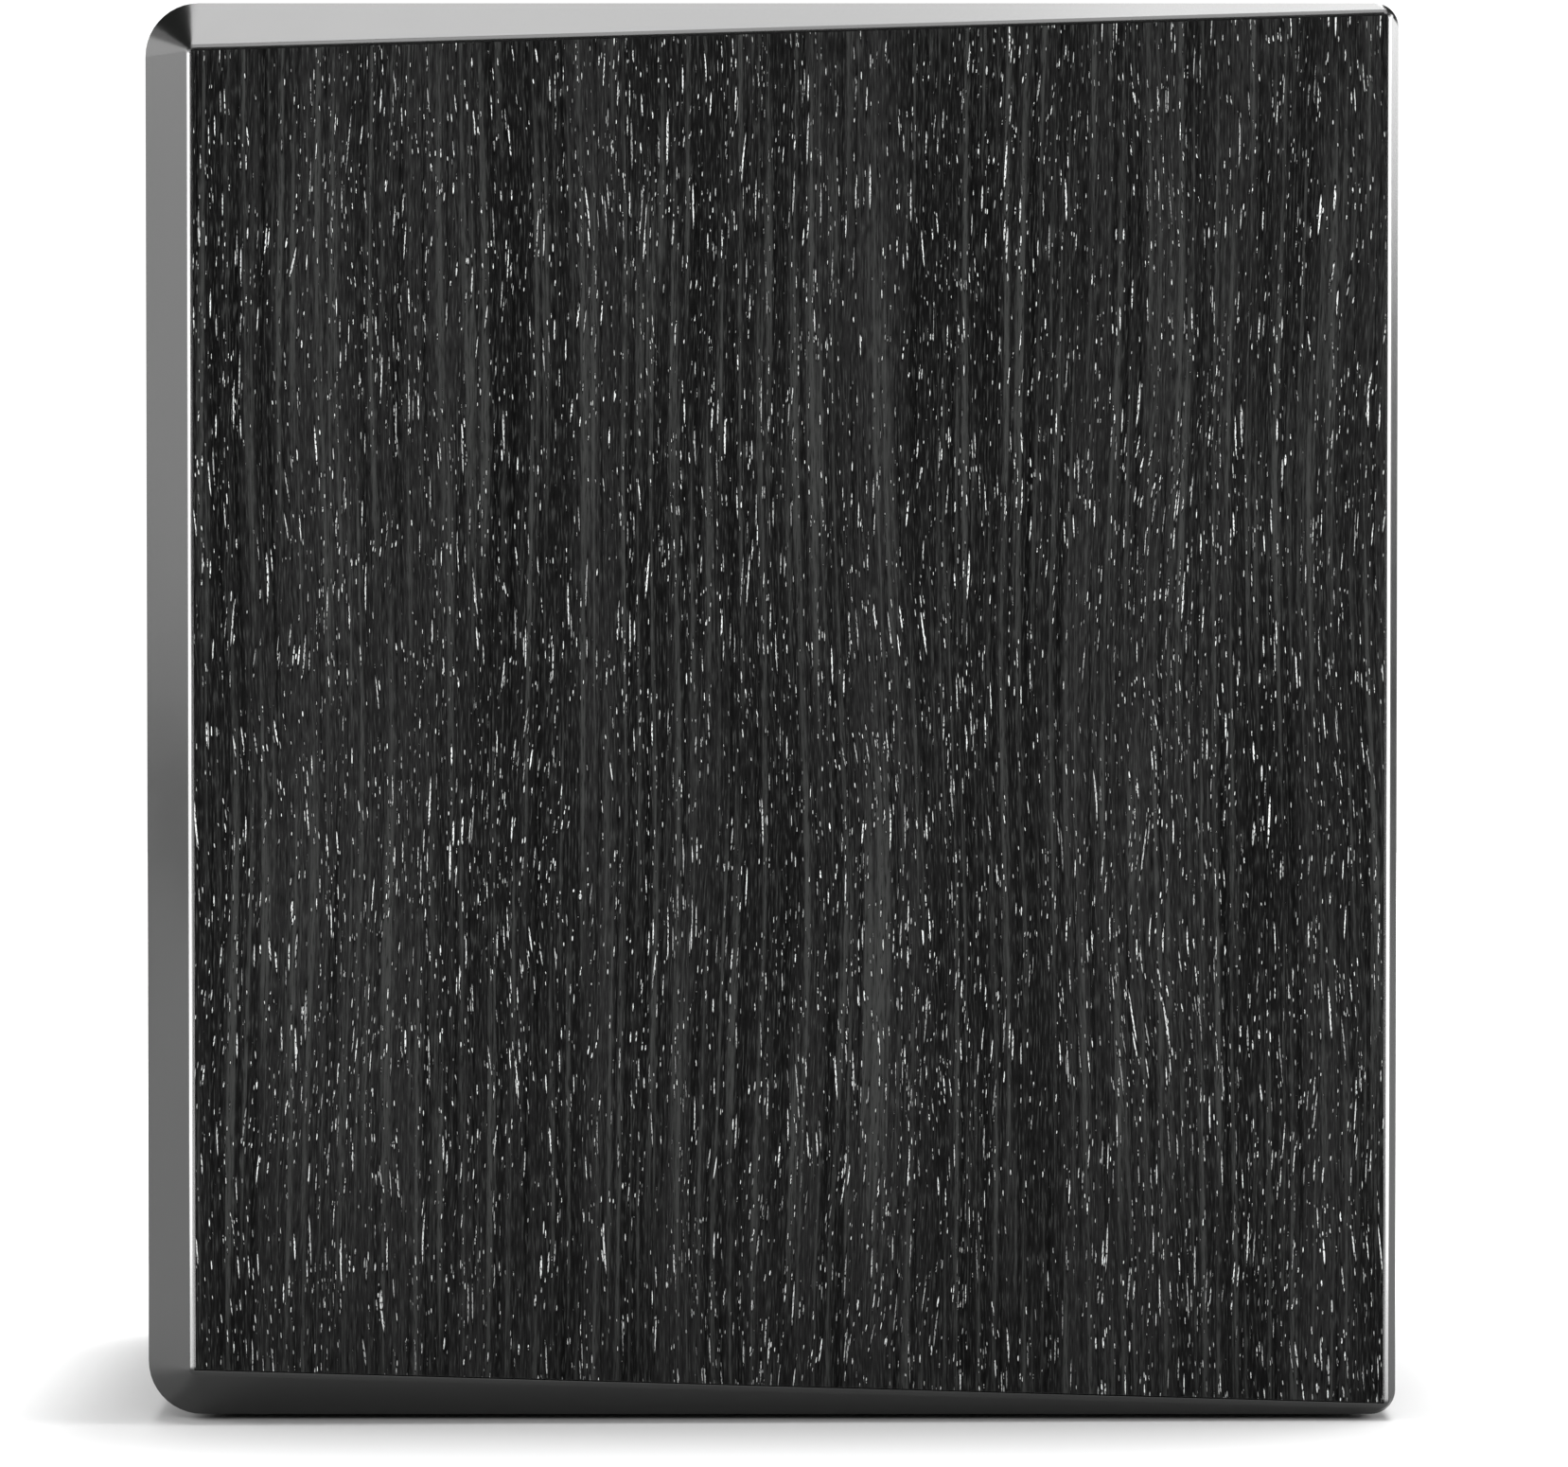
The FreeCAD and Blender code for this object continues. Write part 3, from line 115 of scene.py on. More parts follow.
def sprayedLacquer(name, highlightedBeside=None):
    looks = lacquerLooks
    material, tree, shader, place = startMaterial(name, {
        "Base Color": linear(looks["colour"]), "IOR": looks["ior"], "Coat Weight": looks["coat"],
        "Coat Roughness": looks["coatRoughness"],
    })
    peel = addNode(tree, "TexNoise", {"Vector": place, "Scale": 1 / looks["peelSize"], "Detail": 2.0})
    haze = addNode(tree, "TexNoise", {"Vector": place, "Scale": 1 / looks["hazeSize"], "Detail": 4.0})
    rough = addNode(tree, "MapRange", (haze, 0.3, 0.7, *looks["roughness"]), **smooth)
    bump = addNode(tree, "Bump", {"Height": peel, "Distance": looks["peelDepth"] / 1000})
    tree.links.new(rough, shader.inputs["Roughness"])
    tree.links.new(bump, shader.inputs["Normal"])
    if highlightedBeside:
        # a painted highlight: the rounded lip at the veneer's front and rear edges is made grey and metallic,
        # so that it shines as a bright line
        points = [vertex.co * 1000 for vertex in nodes[highlightedBeside].data.vertices]
        front, rear = min(point.y for point in points), max(point.y for point in points)
        atFront = [point.z for point in points if point.y < front + 0.1]
        atRear = [point.z for point in points if point.y > rear - 0.1]
        sides = []
        for pick, turn in ((max, 1), (min, -1)):
            start, end = Vector((0, front, pick(atFront))), Vector((0, rear, pick(atRear)))
            along = (end - start).normalized()
            out = Vector((0, -along.z, along.y)) * turn
            reach = addNode(tree, "VectorMath", (place, out), output="Value", operation="DOT_PRODUCT")
            sides.append(addNode(tree, "Math", (reach, out.dot(start)), operation="SUBTRACT"))
        past = addNode(tree, "Math", sides, operation="MAXIMUM")
        along = addNode(tree, "SeparateXYZ", (place,), output="Y")
        ahead = addNode(tree, "Math", (front, along), operation="SUBTRACT")
        behind = addNode(tree, "Math", (along, rear), operation="SUBTRACT")
        beside = addNode(tree, "Math", (ahead, behind), operation="MAXIMUM")
        width = looks["highlightLipWidth"]
        onLip = addNode(tree, "MapRange", (beside, width, width + 0.3, 1.0, 0.0), **smooth)
        within = addNode(tree, "MapRange", (past, -0.6, 0.4, 1.0, 0.0), **smooth)
        share = addNode(tree, "Math", (onLip, within), operation="MULTIPLY")
        paintedLipHighlight = {0: share, 6: linear(looks["colour"]), 7: linear(looks["lipHighlightColour"])}
        tree.links.new(addNode(tree, "Mix", paintedLipHighlight, **colourMix), shader.inputs["Base Color"])
        tree.links.new(share, shader.inputs["Metallic"])
    return material


# oak veneer, sliced, stained black and wire brushed: dark grain bands, and open pores filled with pale wax
veneerLooks = {
    "darkest": "#040404", "dark": "#121212", "mid": "#222222", "pale": "#434443",
    "wax": "#f4f6f5", "rim": "#030303", "ior": 1.48, "shine": 0.05, "roughness": (0.5, 0.68), "depth": 0.09,
    "waveHeight": 9.0, "rippleHeight": 8.0,
    # each layer of pores: its cell's width and height, half a pore's width in cells, the share of cells
    # used, and the width of its columns
    "pores": [
        {"cell": (1.8, 54.0), "size": 0.13, "used": 0.34, "column": 5.5, "seed": 3.0},
        {"cell": (1.4, 26.0), "size": 0.14, "used": 0.38, "column": 4.0, "seed": 17.0},
        {"cell": (1.1, 11.0), "size": 0.15, "used": 0.26, "column": 3.0, "seed": 41.0},
        {"cell": (0.7, 4.6), "size": 0.2, "used": 0.06, "column": 1.2, "seed": 77.0},
    ],
}


def stainedBrushedOak():
    looks = veneerLooks
    material, tree, shader, place = startMaterial("stainedBrushedOak", {
        "IOR": looks["ior"], "Specular IOR Level": looks["shine"],
    })
    across = addNode(tree, "SeparateXYZ", (place,), output="Y")
    along = across.node.outputs["Z"]

    def grain(sideways, width, height, seed, detail=2.0):
        # noise that is width across and height along the grain, in millimetres
        spot = addNode(tree, "CombineXYZ", (sideways, along))
        spot = addNode(tree, "VectorMath", (spot, (width, height, 1.0)), operation="DIVIDE")
        spot = addNode(tree, "VectorMath", (spot, (seed, seed * 0.7, 0.0)), operation="ADD")
        spot = {"Vector": spot, "Scale": 1.0, "Detail": detail}
        return addNode(tree, "TexNoise", spot, noise_dimensions="2D")

    # the grain wanders in slow waves, and the pores lie across it in quick ripples, a few degrees either way
    wave = addNode(tree, "MapRange", (grain(across, 62, 260, 1, 1), 0.0, 1.0, -0.5 * looks["waveHeight"],
                                      0.5 * looks["waveHeight"]))
    ripple = addNode(tree, "MapRange", (grain(across, 20, 64, 2, 1), 0.0, 1.0, -0.5 * looks["rippleHeight"],
                                        0.5 * looks["rippleHeight"]))
    flow = addNode(tree, "Math", (across, wave), operation="ADD")
    drift = addNode(tree, "Math", (flow, ripple), operation="ADD")

    # colour: wide bands, narrow streaks and single fibres
    bands = grain(flow, 14, 600, 3, 3)
    streaks = grain(flow, 2.0, 150, 4, 3)
    fibres = grain(flow, 0.36, 5, 5, 4)
    colour = linear(looks["dark"])
    for pattern, low, high, atLow, atHigh, stain in (
        (bands, 0.34, 0.66, 0.0, 1.0, "mid"), (streaks, 0.5, 0.74, 0.0, 0.7, "pale"),
        (streaks, 0.26, 0.46, 0.8, 0.0, "darkest"), (fibres, 0.5, 0.78, 0.0, 0.7, "pale"),
        (fibres, 0.22, 0.48, 0.85, 0.0, "darkest"),
    ):
        share = addNode(tree, "MapRange", (pattern, low, high, atLow, atHigh), **smooth)
        colour = addNode(tree, "Mix", {0: share, 6: colour, 7: linear(looks[stain])}, **colourMix)

    # pores gather in ragged columns, denser in some bands than in others, and the wax in them is broken up
    broad = addNode(tree, "MapRange", (grain(flow, 30, 260, 6, 1), 0.3, 0.7, -0.1, 0.1), **smooth)
    broken = addNode(tree, "MapRange", (grain(drift, 0.24, 0.9, 7, 2), 0.34, 0.52), **smooth)
    pores = rims = 0.0
    for layer in looks["pores"]:
        width, height = layer["cell"]
        seed, column = layer["seed"], layer["column"]
        spot = addNode(tree, "CombineXYZ", (drift, along))
        spot = addNode(tree, "VectorMath", (spot, (width, height, 1.0)), operation="DIVIDE")
        spot = addNode(tree, "VectorMath", (spot, (seed, seed * 0.37, 0.0)), operation="ADD")
        spot = {"Vector": spot, "Scale": 1.0}
        away = addNode(tree, "TexVoronoi", spot, "Distance", voronoi_dimensions="2D")
        chance = addNode(tree, "SeparateColor", (away.node.outputs["Color"],), "Red")
        crowd = grain(drift, column, column * 14, seed + 8)
        crowd = addNode(tree, "MapRange", (crowd, 0.42, 0.66, -0.3, 0.5), **smooth)
        wanted = addNode(tree, "Math", (crowd, broad), operation="ADD")
        wanted = addNode(tree, "Math", (wanted, layer["used"]), operation="ADD")
        present = addNode(tree, "Math", (chance, wanted), operation="LESS_THAN")
        spread = chance.node.outputs["Green"]
        size = addNode(tree, "MapRange", (spread, 0.0, 1.0, layer["size"] * 0.4, layer["size"]))
        reach = addNode(tree, "Math", (away, size), operation="DIVIDE")
        core = addNode(tree, "MapRange", (reach, 0.7, 1.0, 1.0, 0.0), **smooth)
        rim = addNode(tree, "MapRange", (reach, 1.0, 1.8, 1.0, 0.0), **smooth)
        fill = addNode(tree, "MapRange", (chance.node.outputs["Blue"], 0.0, 1.0, 0.25, 1.0), **smooth)
        fill = addNode(tree, "Math", (fill, broken), operation="MULTIPLY")
        fill = addNode(tree, "Math", (fill, core), operation="MULTIPLY")
        fill = addNode(tree, "Math", (fill, present), operation="MULTIPLY")
        rim = addNode(tree, "Math", (rim, present), operation="MULTIPLY")
        pores = addNode(tree, "Math", (pores, fill), operation="MAXIMUM")
        rims = addNode(tree, "Math", (rims, rim), operation="MAXIMUM")
    shade = addNode(tree, "Math", (rims, 0.8), operation="MULTIPLY")
    colour = addNode(tree, "Mix", {0: shade, 6: colour, 7: linear(looks["rim"])}, **colourMix)
    colour = addNode(tree, "Mix", {0: pores, 6: colour, 7: linear(looks["wax"])}, **colourMix)
    rough = addNode(tree, "MapRange", (fibres, 0.25, 0.75, *looks["roughness"]), **smooth)
    height = addNode(tree, "Math", (fibres, 0.3), operation="MULTIPLY")
    height = addNode(tree, "Math", (height, rims), operation="SUBTRACT")
    bump = addNode(tree, "Bump", {"Height": height, "Distance": looks["depth"] / 1000})
    tree.links.new(colour, shader.inputs["Base Color"])
    tree.links.new(rough, shader.inputs["Roughness"])
    tree.links.new(bump, shader.inputs["Normal"])
    return material


def evenGrain(name, looks):
    # one fine even grain with slow patches in it: colours, grain size, roughnesses and depth, in millimetres
    low, high, size, roughness, depth, sockets = looks
    material, tree, shader, place = startMaterial(name, sockets)
    spots = addNode(tree, "TexNoise", {"Vector": place, "Scale": 1 / size, "Detail": 3.0, "Roughness": 0.6})
    patches = addNode(tree, "TexNoise", {"Vector": place, "Scale": 1 / (size * 40), "Detail": 2.0})
    mixed = addNode(tree, "Mix", {0: 0.4, 2: spots, 3: patches})
    share = addNode(tree, "MapRange", (mixed, 0.35, 0.65), **smooth)
    colour = addNode(tree, "Mix", {0: share, 6: linear(low), 7: linear(high)}, **colourMix)
    rough = addNode(tree, "MapRange", (mixed, 0.3, 0.7, *roughness), **smooth)
    bump = addNode(tree, "Bump", {"Height": spots, "Distance": depth / 1000})
    tree.links.new(colour, shader.inputs["Base Color"])
    tree.links.new(rough, shader.inputs["Roughness"])
    tree.links.new(bump, shader.inputs["Normal"])
    return material


metal = {"Metallic": 1.0}
coatedMetal = {"Metallic": 0.75}
# material slot: name, then low and high colour, grain size, roughnesses, depth, and other sockets
evenFinishes = {
    # sanded fibreboard: matt tan felt of short fibres
    "raw_mdf": ("sandedFibreboard", ("#8a6a48", "#ab8a63", 0.9, (0.8, 0.9), 0.05, {})),
    # injection-moulded ABS with an etched mould: even black, dull sheen
    "black_abs": ("mouldedEtchedAbs", ("#131313", "#1c1c1c", 0.5, (0.42, 0.55), 0.03, {})),
    # die-cast aluminium, powder coated black: fine pebble, low gloss
    "cast_aluminium": ("powderCoatedCasting", ("#101010", "#191919", 0.35, (0.5, 0.62), 0.03, {})),
    # bead-blasted, black anodised aluminium: silky dark grey, soft highlights
    "anodised_aluminium": ("blastedAnodisedAluminium", (
        "#17181a", "#1f2022", 0.16, (0.34, 0.42), 0.01, coatedMetal)),
    # black zinc on steel screws and guard: dark, slightly uneven shine
    "black_steel": ("blackZincSteel", ("#1b1b1c", "#262627", 0.4, (0.3, 0.42), 0.006, {"Metallic": 0.8})),
    # moulded nitrile rubber: dense black, a wide dull sheen
    "nitrile_rubber": ("mouldedNitrile", ("#0d0d0d", "#141414", 0.3, (0.5, 0.62), 0.01, {})),
    # die-cut closed-cell foam: matt charcoal with small cells
    "foam_seal": ("dieCutFoam", ("#151515", "#262626", 0.45, (0.85, 0.95), 0.12, {})),
    # sintered and ground ferrite: flat dark grey
    "ferrite": ("groundFerrite", ("#2c2d30", "#3a3b3e", 0.5, (0.45, 0.6), 0.02, {})),
    # zinc-plated turned steel: pale, slightly clouded metal
    "plated_steel": ("zincPlatedSteel", ("#a3a49d", "#b9bab3", 2.5, (0.28, 0.42), 0.01, metal)),
    # gold-plated turned brass: warm and bright, almost clean
    "plated_brass": ("goldPlatedBrass", ("#c79640", "#d8a954", 3.0, (0.2, 0.28), 0.004, metal)),
    # turned brass left bare: yellow, softly dulled
    "plain_brass": ("turnedBareBrass", ("#b08a44", "#c29a50", 0.8, (0.28, 0.4), 0.01, metal)),
    # stamped tinned brass: dull silver
    "tinned_brass": ("stampedTinnedBrass", ("#b5b2a8", "#c9c6bc", 1.4, (0.3, 0.45), 0.02, metal)),
    # moulded nylon caps and collars: smooth and slightly waxy
    "black_nylon": ("mouldedBlackNylon", ("#141414", "#1d1d1d", 0.4, (0.35, 0.45), 0.01, {})),
    "red_nylon": ("mouldedRedNylon", ("#a3161a", "#b61d20", 0.4, (0.32, 0.42), 0.01, {})),
    # extruded PVC wire cover: smooth, half gloss
    "black_insulation": ("extrudedBlackPvc", ("#121212", "#1a1a1a", 0.5, (0.4, 0.5), 0.01, {})),
    "red_insulation": ("extrudedRedPvc", ("#a51517", "#b81c1e", 0.5, (0.38, 0.48), 0.01, {})),
    # laminated glass-epoxy board: green, with the cloth just showing
    "phenolic_board": ("laminatedGlassEpoxy", ("#274b2c", "#31593a", 1.2, (0.4, 0.5), 0.01, {})),
    # capacitors wrapped in polyester film: dark red, glossy
    "film_capacitor": ("wrappedPolyesterFilm", (
        "#8c2317", "#9b2c1d", 1.2, (0.25, 0.35), 0.01, {"Coat Weight": 0.5})),
    # resistors cast in ceramic: chalky off-white
    "ceramic_resistor": ("castCeramic", ("#cfccc2", "#dedbd2", 0.7, (0.55, 0.7), 0.05, {})),
    # bare copper braid: warm, broken glints
    "copper_braid": ("braidedCopper", ("#a8683c", "#c98650", 0.3, (0.3, 0.45), 0.1, metal)),
}

# bright aluminium cut on a lathe: fine rings that draw the highlight out into a fan
turnedLooks = {"colour": "#b9babc", "pitch": 0.22, "depth": 0.012, "roughness": (0.24, 0.38)}


def turnedAluminium(axisHeight):
    looks = turnedLooks
    colour = {"Base Color": linear(looks["colour"]), **metal}
    material, tree, shader, place = startMaterial("turnedAluminium", colour)
    flat = addNode(tree, "VectorMath", (place, (1.0, 0.0, 1.0)), operation="MULTIPLY")
    radius = addNode(tree, "VectorMath", (flat, (0.0, 0.0, axisHeight * 1000)), "Value", operation="DISTANCE")
    depth = addNode(tree, "SeparateXYZ", (place,), output="Y")
    track = addNode(tree, "Math", (depth, 0.7, radius), operation="MULTIPLY_ADD")
    rings = {"W": track, "Scale": 1 / looks["pitch"], "Detail": 4.0}
    rings = addNode(tree, "TexNoise", rings, noise_dimensions="1D")
    rough = addNode(tree, "MapRange", (rings, 0.3, 0.7, *looks["roughness"]), **smooth)
    bump = addNode(tree, "Bump", {"Height": rings, "Distance": looks["depth"] / 1000})
    tree.links.new(rough, shader.inputs["Roughness"])
    tree.links.new(bump, shader.inputs["Normal"])
    return material


# woven glass and carbon set in resin: a two by two twill, each thread crowned, under a glossy skin
twillLooks = {
    "thread": 1.5, "depth": 0.07, "dark": "#0d0e10", "light": "#2c2f33", "coat": 0.6, "coatRoughness": 0.12,
}


def wovenConeTwill():
    looks = twillLooks
    material, tree, shader, place = startMaterial("wovenGlassCarbon", {
        "IOR": 1.5, "Coat Weight": looks["coat"], "Coat Roughness": looks["coatRoughness"],
    })
    turned = addNode(tree, "Mapping", {"Vector": place, "Rotation": (0.0, math.radians(45), 0.0)})
    threads = addNode(tree, "VectorMath", {0: turned, "Scale": 1 / looks["thread"]}, operation="SCALE")
    across = addNode(tree, "SeparateXYZ", (threads,), output="X")
    along = across.node.outputs["Z"]
    crowns = []
    floors = []
    for way in (across, along):
        part = addNode(tree, "Math", (way,), operation="FRACT")
        part = addNode(tree, "Math", (part, math.pi), operation="MULTIPLY")
        crowns.append(addNode(tree, "Math", (part,), operation="SINE"))
        floors.append(addNode(tree, "Math", (way,), operation="FLOOR"))
    step = addNode(tree, "Math", floors, operation="ADD")
    step = addNode(tree, "Math", (step, 4.0, 0.0), operation="WRAP")
    over = addNode(tree, "Math", (step, 1.5), operation="LESS_THAN")
    crown = addNode(tree, "Mix", {0: over, 2: crowns[0], 3: crowns[1]})
    tone = addNode(tree, "MapRange", (over, 0.0, 1.0, 0.25, 0.85))
    # the colour darkens towards each thread's edges: painted shade where the threads dip under each other
    threadEdgeShade = addNode(tree, "MapRange", (crown, 0.0, 0.8), **smooth)
    share = addNode(tree, "Math", (tone, threadEdgeShade), operation="MULTIPLY")
    tones = {0: share, 6: linear(looks["dark"]), 7: linear(looks["light"])}
    colour = addNode(tree, "Mix", tones, **colourMix)
    rough = addNode(tree, "MapRange", (crown, 0.0, 1.0, 0.55, 0.3), **smooth)
    bump = addNode(tree, "Bump", {"Height": crown, "Distance": looks["depth"] / 1000})
    tree.links.new(colour, shader.inputs["Base Color"])
    tree.links.new(rough, shader.inputs["Roughness"])
    tree.links.new(bump, shader.inputs["Normal"])
    return material


# plain weaves: silk sealed with a tacky coating, dark with a soft sheen, and cotton stiffened with resin,
# dry and tan
clothLooks = {
    "coatedSilk": {"low": "#0e0e0f", "high": "#1b1b1d", "thread": 0.32, "sheen": 0.25},
    "resinedCotton": {"low": "#8a6524", "high": "#b98d3e", "thread": 0.8, "sheen": 0.1},
}


def plainWeave(name):
    looks = clothLooks[name]
    material, tree, shader, place = startMaterial(name, {"Roughness": 0.8, "Sheen Weight": looks["sheen"]})
    threads = addNode(tree, "VectorMath", {0: place, "Scale": math.pi / looks["thread"]}, operation="SCALE")
    waves = addNode(tree, "VectorMath", (threads,), operation="SINE")
    across = addNode(tree, "SeparateXYZ", (waves,), output="X")
    weave = addNode(tree, "Math", (across, across.node.outputs["Z"]), operation="MULTIPLY")
    weave = addNode(tree, "Math", (weave,), operation="ABSOLUTE")
    # lighter on each thread's crown and darker where the threads dip: painted shade in the weave
    colour = addNode(tree, "Mix", {0: weave, 6: linear(looks["low"]), 7: linear(looks["high"])}, **colourMix)
    bump = addNode(tree, "Bump", {"Height": weave, "Distance": looks["thread"] * 0.0002})
    tree.links.new(colour, shader.inputs["Base Color"])
    tree.links.new(bump, shader.inputs["Normal"])
    return material


# enamelled copper wire, layer wound: close bright turns under clear enamel
# the first colour is painted shade in the grooves between turns, the second the copper itself
windingLooks = {"turn": 0.7, "paintedGrooveShade": "#5a2a12", "wire": "#b8602c"}


def woundCopper():
    looks = windingLooks
    material, tree, shader, place = startMaterial("woundEnamelledCopper", {
        "Metallic": 0.85, "Roughness": 0.3, "Coat Weight": 0.4,
    })
    along = addNode(tree, "SeparateXYZ", (place,), output="Z")
    turns = addNode(tree, "Math", (along, math.pi / looks["turn"]), operation="MULTIPLY")
    turns = addNode(tree, "Math", (turns,), operation="SINE")
    turns = addNode(tree, "Math", (turns,), operation="ABSOLUTE")
    # darker copper between the turns: painted shade in the grooves
    colour = addNode(tree, "Mix", {0: turns, 6: linear(looks["paintedGrooveShade"]), 7: linear(looks["wire"])}, **colourMix)
    bump = addNode(tree, "Bump", {"Height": turns, "Distance": looks["turn"] * 0.0003})
    tree.links.new(colour, shader.inputs["Base Color"])
    tree.links.new(bump, shader.inputs["Normal"])
    return material


def boxCentre(name):
    low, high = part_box(name)
    return (low + high) / 2


wooferCentre = boxCentre("woofer_cone")
tweeterCentre = boxCentre("tweeter_dome")

finishes = {slot: evenGrain(name, looks) for slot, (name, looks) in evenFinishes.items()}
finishes.update({
    "lacquered_mdf": sprayedLacquer("sprayedSatinLacquer"), "oak_veneer": stainedBrushedOak(),
    "rubber_foot": finishes["nitrile_rubber"], "bright_aluminium": turnedAluminium(wooferCentre.z),
    "woven_cone": wovenConeTwill(), "copper_winding": woundCopper(),
    "treated_cotton": plainWeave("resinedCotton"),
    "coated_silk": plainWeave("coatedSilk"),
})
# the side frames get the lacquer with the painted highlight on the lip beside the veneer
frameLacquer = sprayedLacquer("satinLacquerWithPaintedHighlight", "right_veneer")
sideFrames = ("right_cheek", "left_cheek")
for part in frame["record"]["subparts"]:
    finish = finishes.get(part["material_slot"])
    if part["node"] in sideFrames:
        finish = frameLacquer
    if finish:
        for materialSlot in nodes[part["node"]].material_slots:
            materialSlot.material = finish
print("materials made")


# soft pieces: each is turned from the outline of its own section
# outlines are (radius, depth) in millimetres, depth from the baffle's face
# an arc is (a point on it, its end)
surroundLooks = {
    "outline": [
        (53.5, 2.5), (53.5, 1.7), (57.5, 1.7), ((62.0, -2.8), (66.5, 1.7)), (71.3, 1.7), (71.3, 2.5),
        (65.7, 2.5), ((62.0, -1.2), (58.3, 2.5)),
    ],
    "steps": 144, "arcSteps": 16, "moves": (57.5, 66.5),
}
spiderLooks = {"inner": 13.15, "flat": 17.15, "waveEnd": 42.0, "outer": 46.0, "waves": 6, "height": 1.6,
               "wall": 0.6, "depth": 42.0, "steps": 120, "arcSteps": 8, "moves": (17.15, 42.0)}
suspensionLooks = {
    "outline": [
        (12.3, 9.7), (12.5, 9.7), ((14.1, 8.7), (15.7, 9.7)), (18.4, 9.7), (18.4, 11.0), (15.7, 11.0),
        (15.7, 10.0), ((14.1, 9.0), (12.5, 10.0)), (12.3, 10.0),
    ],
    "steps": 120, "arcSteps": 10, "moves": (12.5, 15.7),
}
baffleFace = cadBox[0].y + 0.005  # the baffle is set back 5 mm between the side frames


def arcCentre(first, middle, last):
    # the centre of the circle through three points of a section
    ax, ay, bx, by, cx, cy = *first, *middle, *last
    d = 2 * (ax * (by - cy) + bx * (cy - ay) + cx * (ay - by))
    a, b, c = ax * ax + ay * ay, bx * bx + by * by, cx * cx + cy * cy
    x = (a * (by - cy) + b * (cy - ay) + c * (ay - by)) / d
    y = (a * (cx - bx) + b * (ax - cx) + c * (bx - ax)) / d
    return x, y


def turnedPiece(name, looks, outline, centre):
    # draws the closed section beside the axis, its arcs by spinning a point, and spins it right round
    def spot(point):
        return Vector((centre.x + point[0] / 1000, baffleFace + point[1] / 1000, centre.z))

    shape = bmesh.new()
    first = last = shape.verts.new(spot(outline[0]))
    at = outline[0]
    for step in outline[1:]:
        if isinstance(step[0], tuple):
            middle, end = step
            cx, cy = arcCentre(at, middle, end)
            begin = math.atan2(at[1] - cy, at[0] - cx)
            turn = (math.atan2(end[1] - cy, end[0] - cx) - begin) % (2 * math.pi)
            side = (math.atan2(middle[1] - cy, middle[0] - cx) - begin) % (2 * math.pi)
            turn = turn if side < turn else turn - 2 * math.pi
            bmesh.ops.spin(shape, geom=[last], cent=spot((cx, cy)), axis=(0, 0, 1), dvec=(0, 0, 0),
                           angle=turn, steps=looks["arcSteps"])
            shape.verts.ensure_lookup_table()
            last, at = shape.verts[-1], end
        else:
            new = shape.verts.new(spot(step))
            shape.edges.new((last, new))
            last, at = new, step
    shape.edges.new((last, first))
    bmesh.ops.spin(shape, geom=shape.verts[:] + shape.edges[:], cent=centre, axis=(0, 1, 0), dvec=(0, 0, 0),
                   angle=2 * math.pi, steps=looks["steps"], use_merge=True)
    bmesh.ops.remove_doubles(shape, verts=shape.verts[:], dist=1e-6)
    bmesh.ops.recalc_face_normals(shape, faces=shape.faces[:])
    mesh = bpy.data.meshes.new(name)
    shape.to_mesh(mesh)
    shape.free()
    mesh.shade_smooth()
    mesh.set_sharp_from_angle(angle=math.radians(45))
    piece = bpy.data.objects.new(name, mesh)
    bpy.context.collection.objects.link(piece)
    return piece


def spiderOutline():
    # flat at the former, then half waves in turn, and flat again at the basket
    looks = spiderLooks
    near, far = looks["depth"], looks["depth"] + looks["wall"]
    pitch = (looks["waveEnd"] - looks["flat"]) / looks["waves"]
    there, back = [(looks["inner"], near), (looks["flat"], near)], []
    for wave in range(looks["waves"]):
        swing = looks["height"] if wave % 2 else -looks["height"]
        start, middle = looks["flat"] + wave * pitch, looks["flat"] + (wave + 0.5) * pitch
        there.append(((middle, near + swing), (start + pitch, near)))
        back.insert(0, ((middle, far + swing), (start, far)))
    rim = [(looks["outer"], near), (looks["outer"], far), (looks["waveEnd"], far)]
    return there + rim + back + [(looks["inner"], far)]


def makeFlexing(name, looks, outline, centre, node, slot):
    # a turned ring with its finish, which takes the place of the part's own mesh
    piece = turnedPiece(name, looks, outline, centre)
    piece.data.materials.append(finishes[slot])
    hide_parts(node)
    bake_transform(piece)


makeFlexing("rubberSurround", surroundLooks, surroundLooks["outline"], wooferCentre, "woofer_surround",
            "nitrile_rubber")
makeFlexing("corrugatedSpider", spiderLooks, spiderOutline(), wooferCentre, "woofer_spider",
            "treated_cotton")
makeFlexing("domeSuspension", suspensionLooks, suspensionLooks["outline"], tweeterCentre,
            "tweeter_suspension", "coated_silk")

# tinsel leads: braided copper, with enough slack for the cone's full travel; points are (y, z) in millimetres
leadLooks = {
    "halfGap": 10.0, "radius": 0.6, "blendStart": (0, -0.118, 0.06), "blendEnd": (0, -0.118, 0.087),
    "points": [(-115.0, 52.0), (-115.0, 60.0), (-119.0, 70.0), (-118.5, 81.0), (-123.4, 88.5)],
}


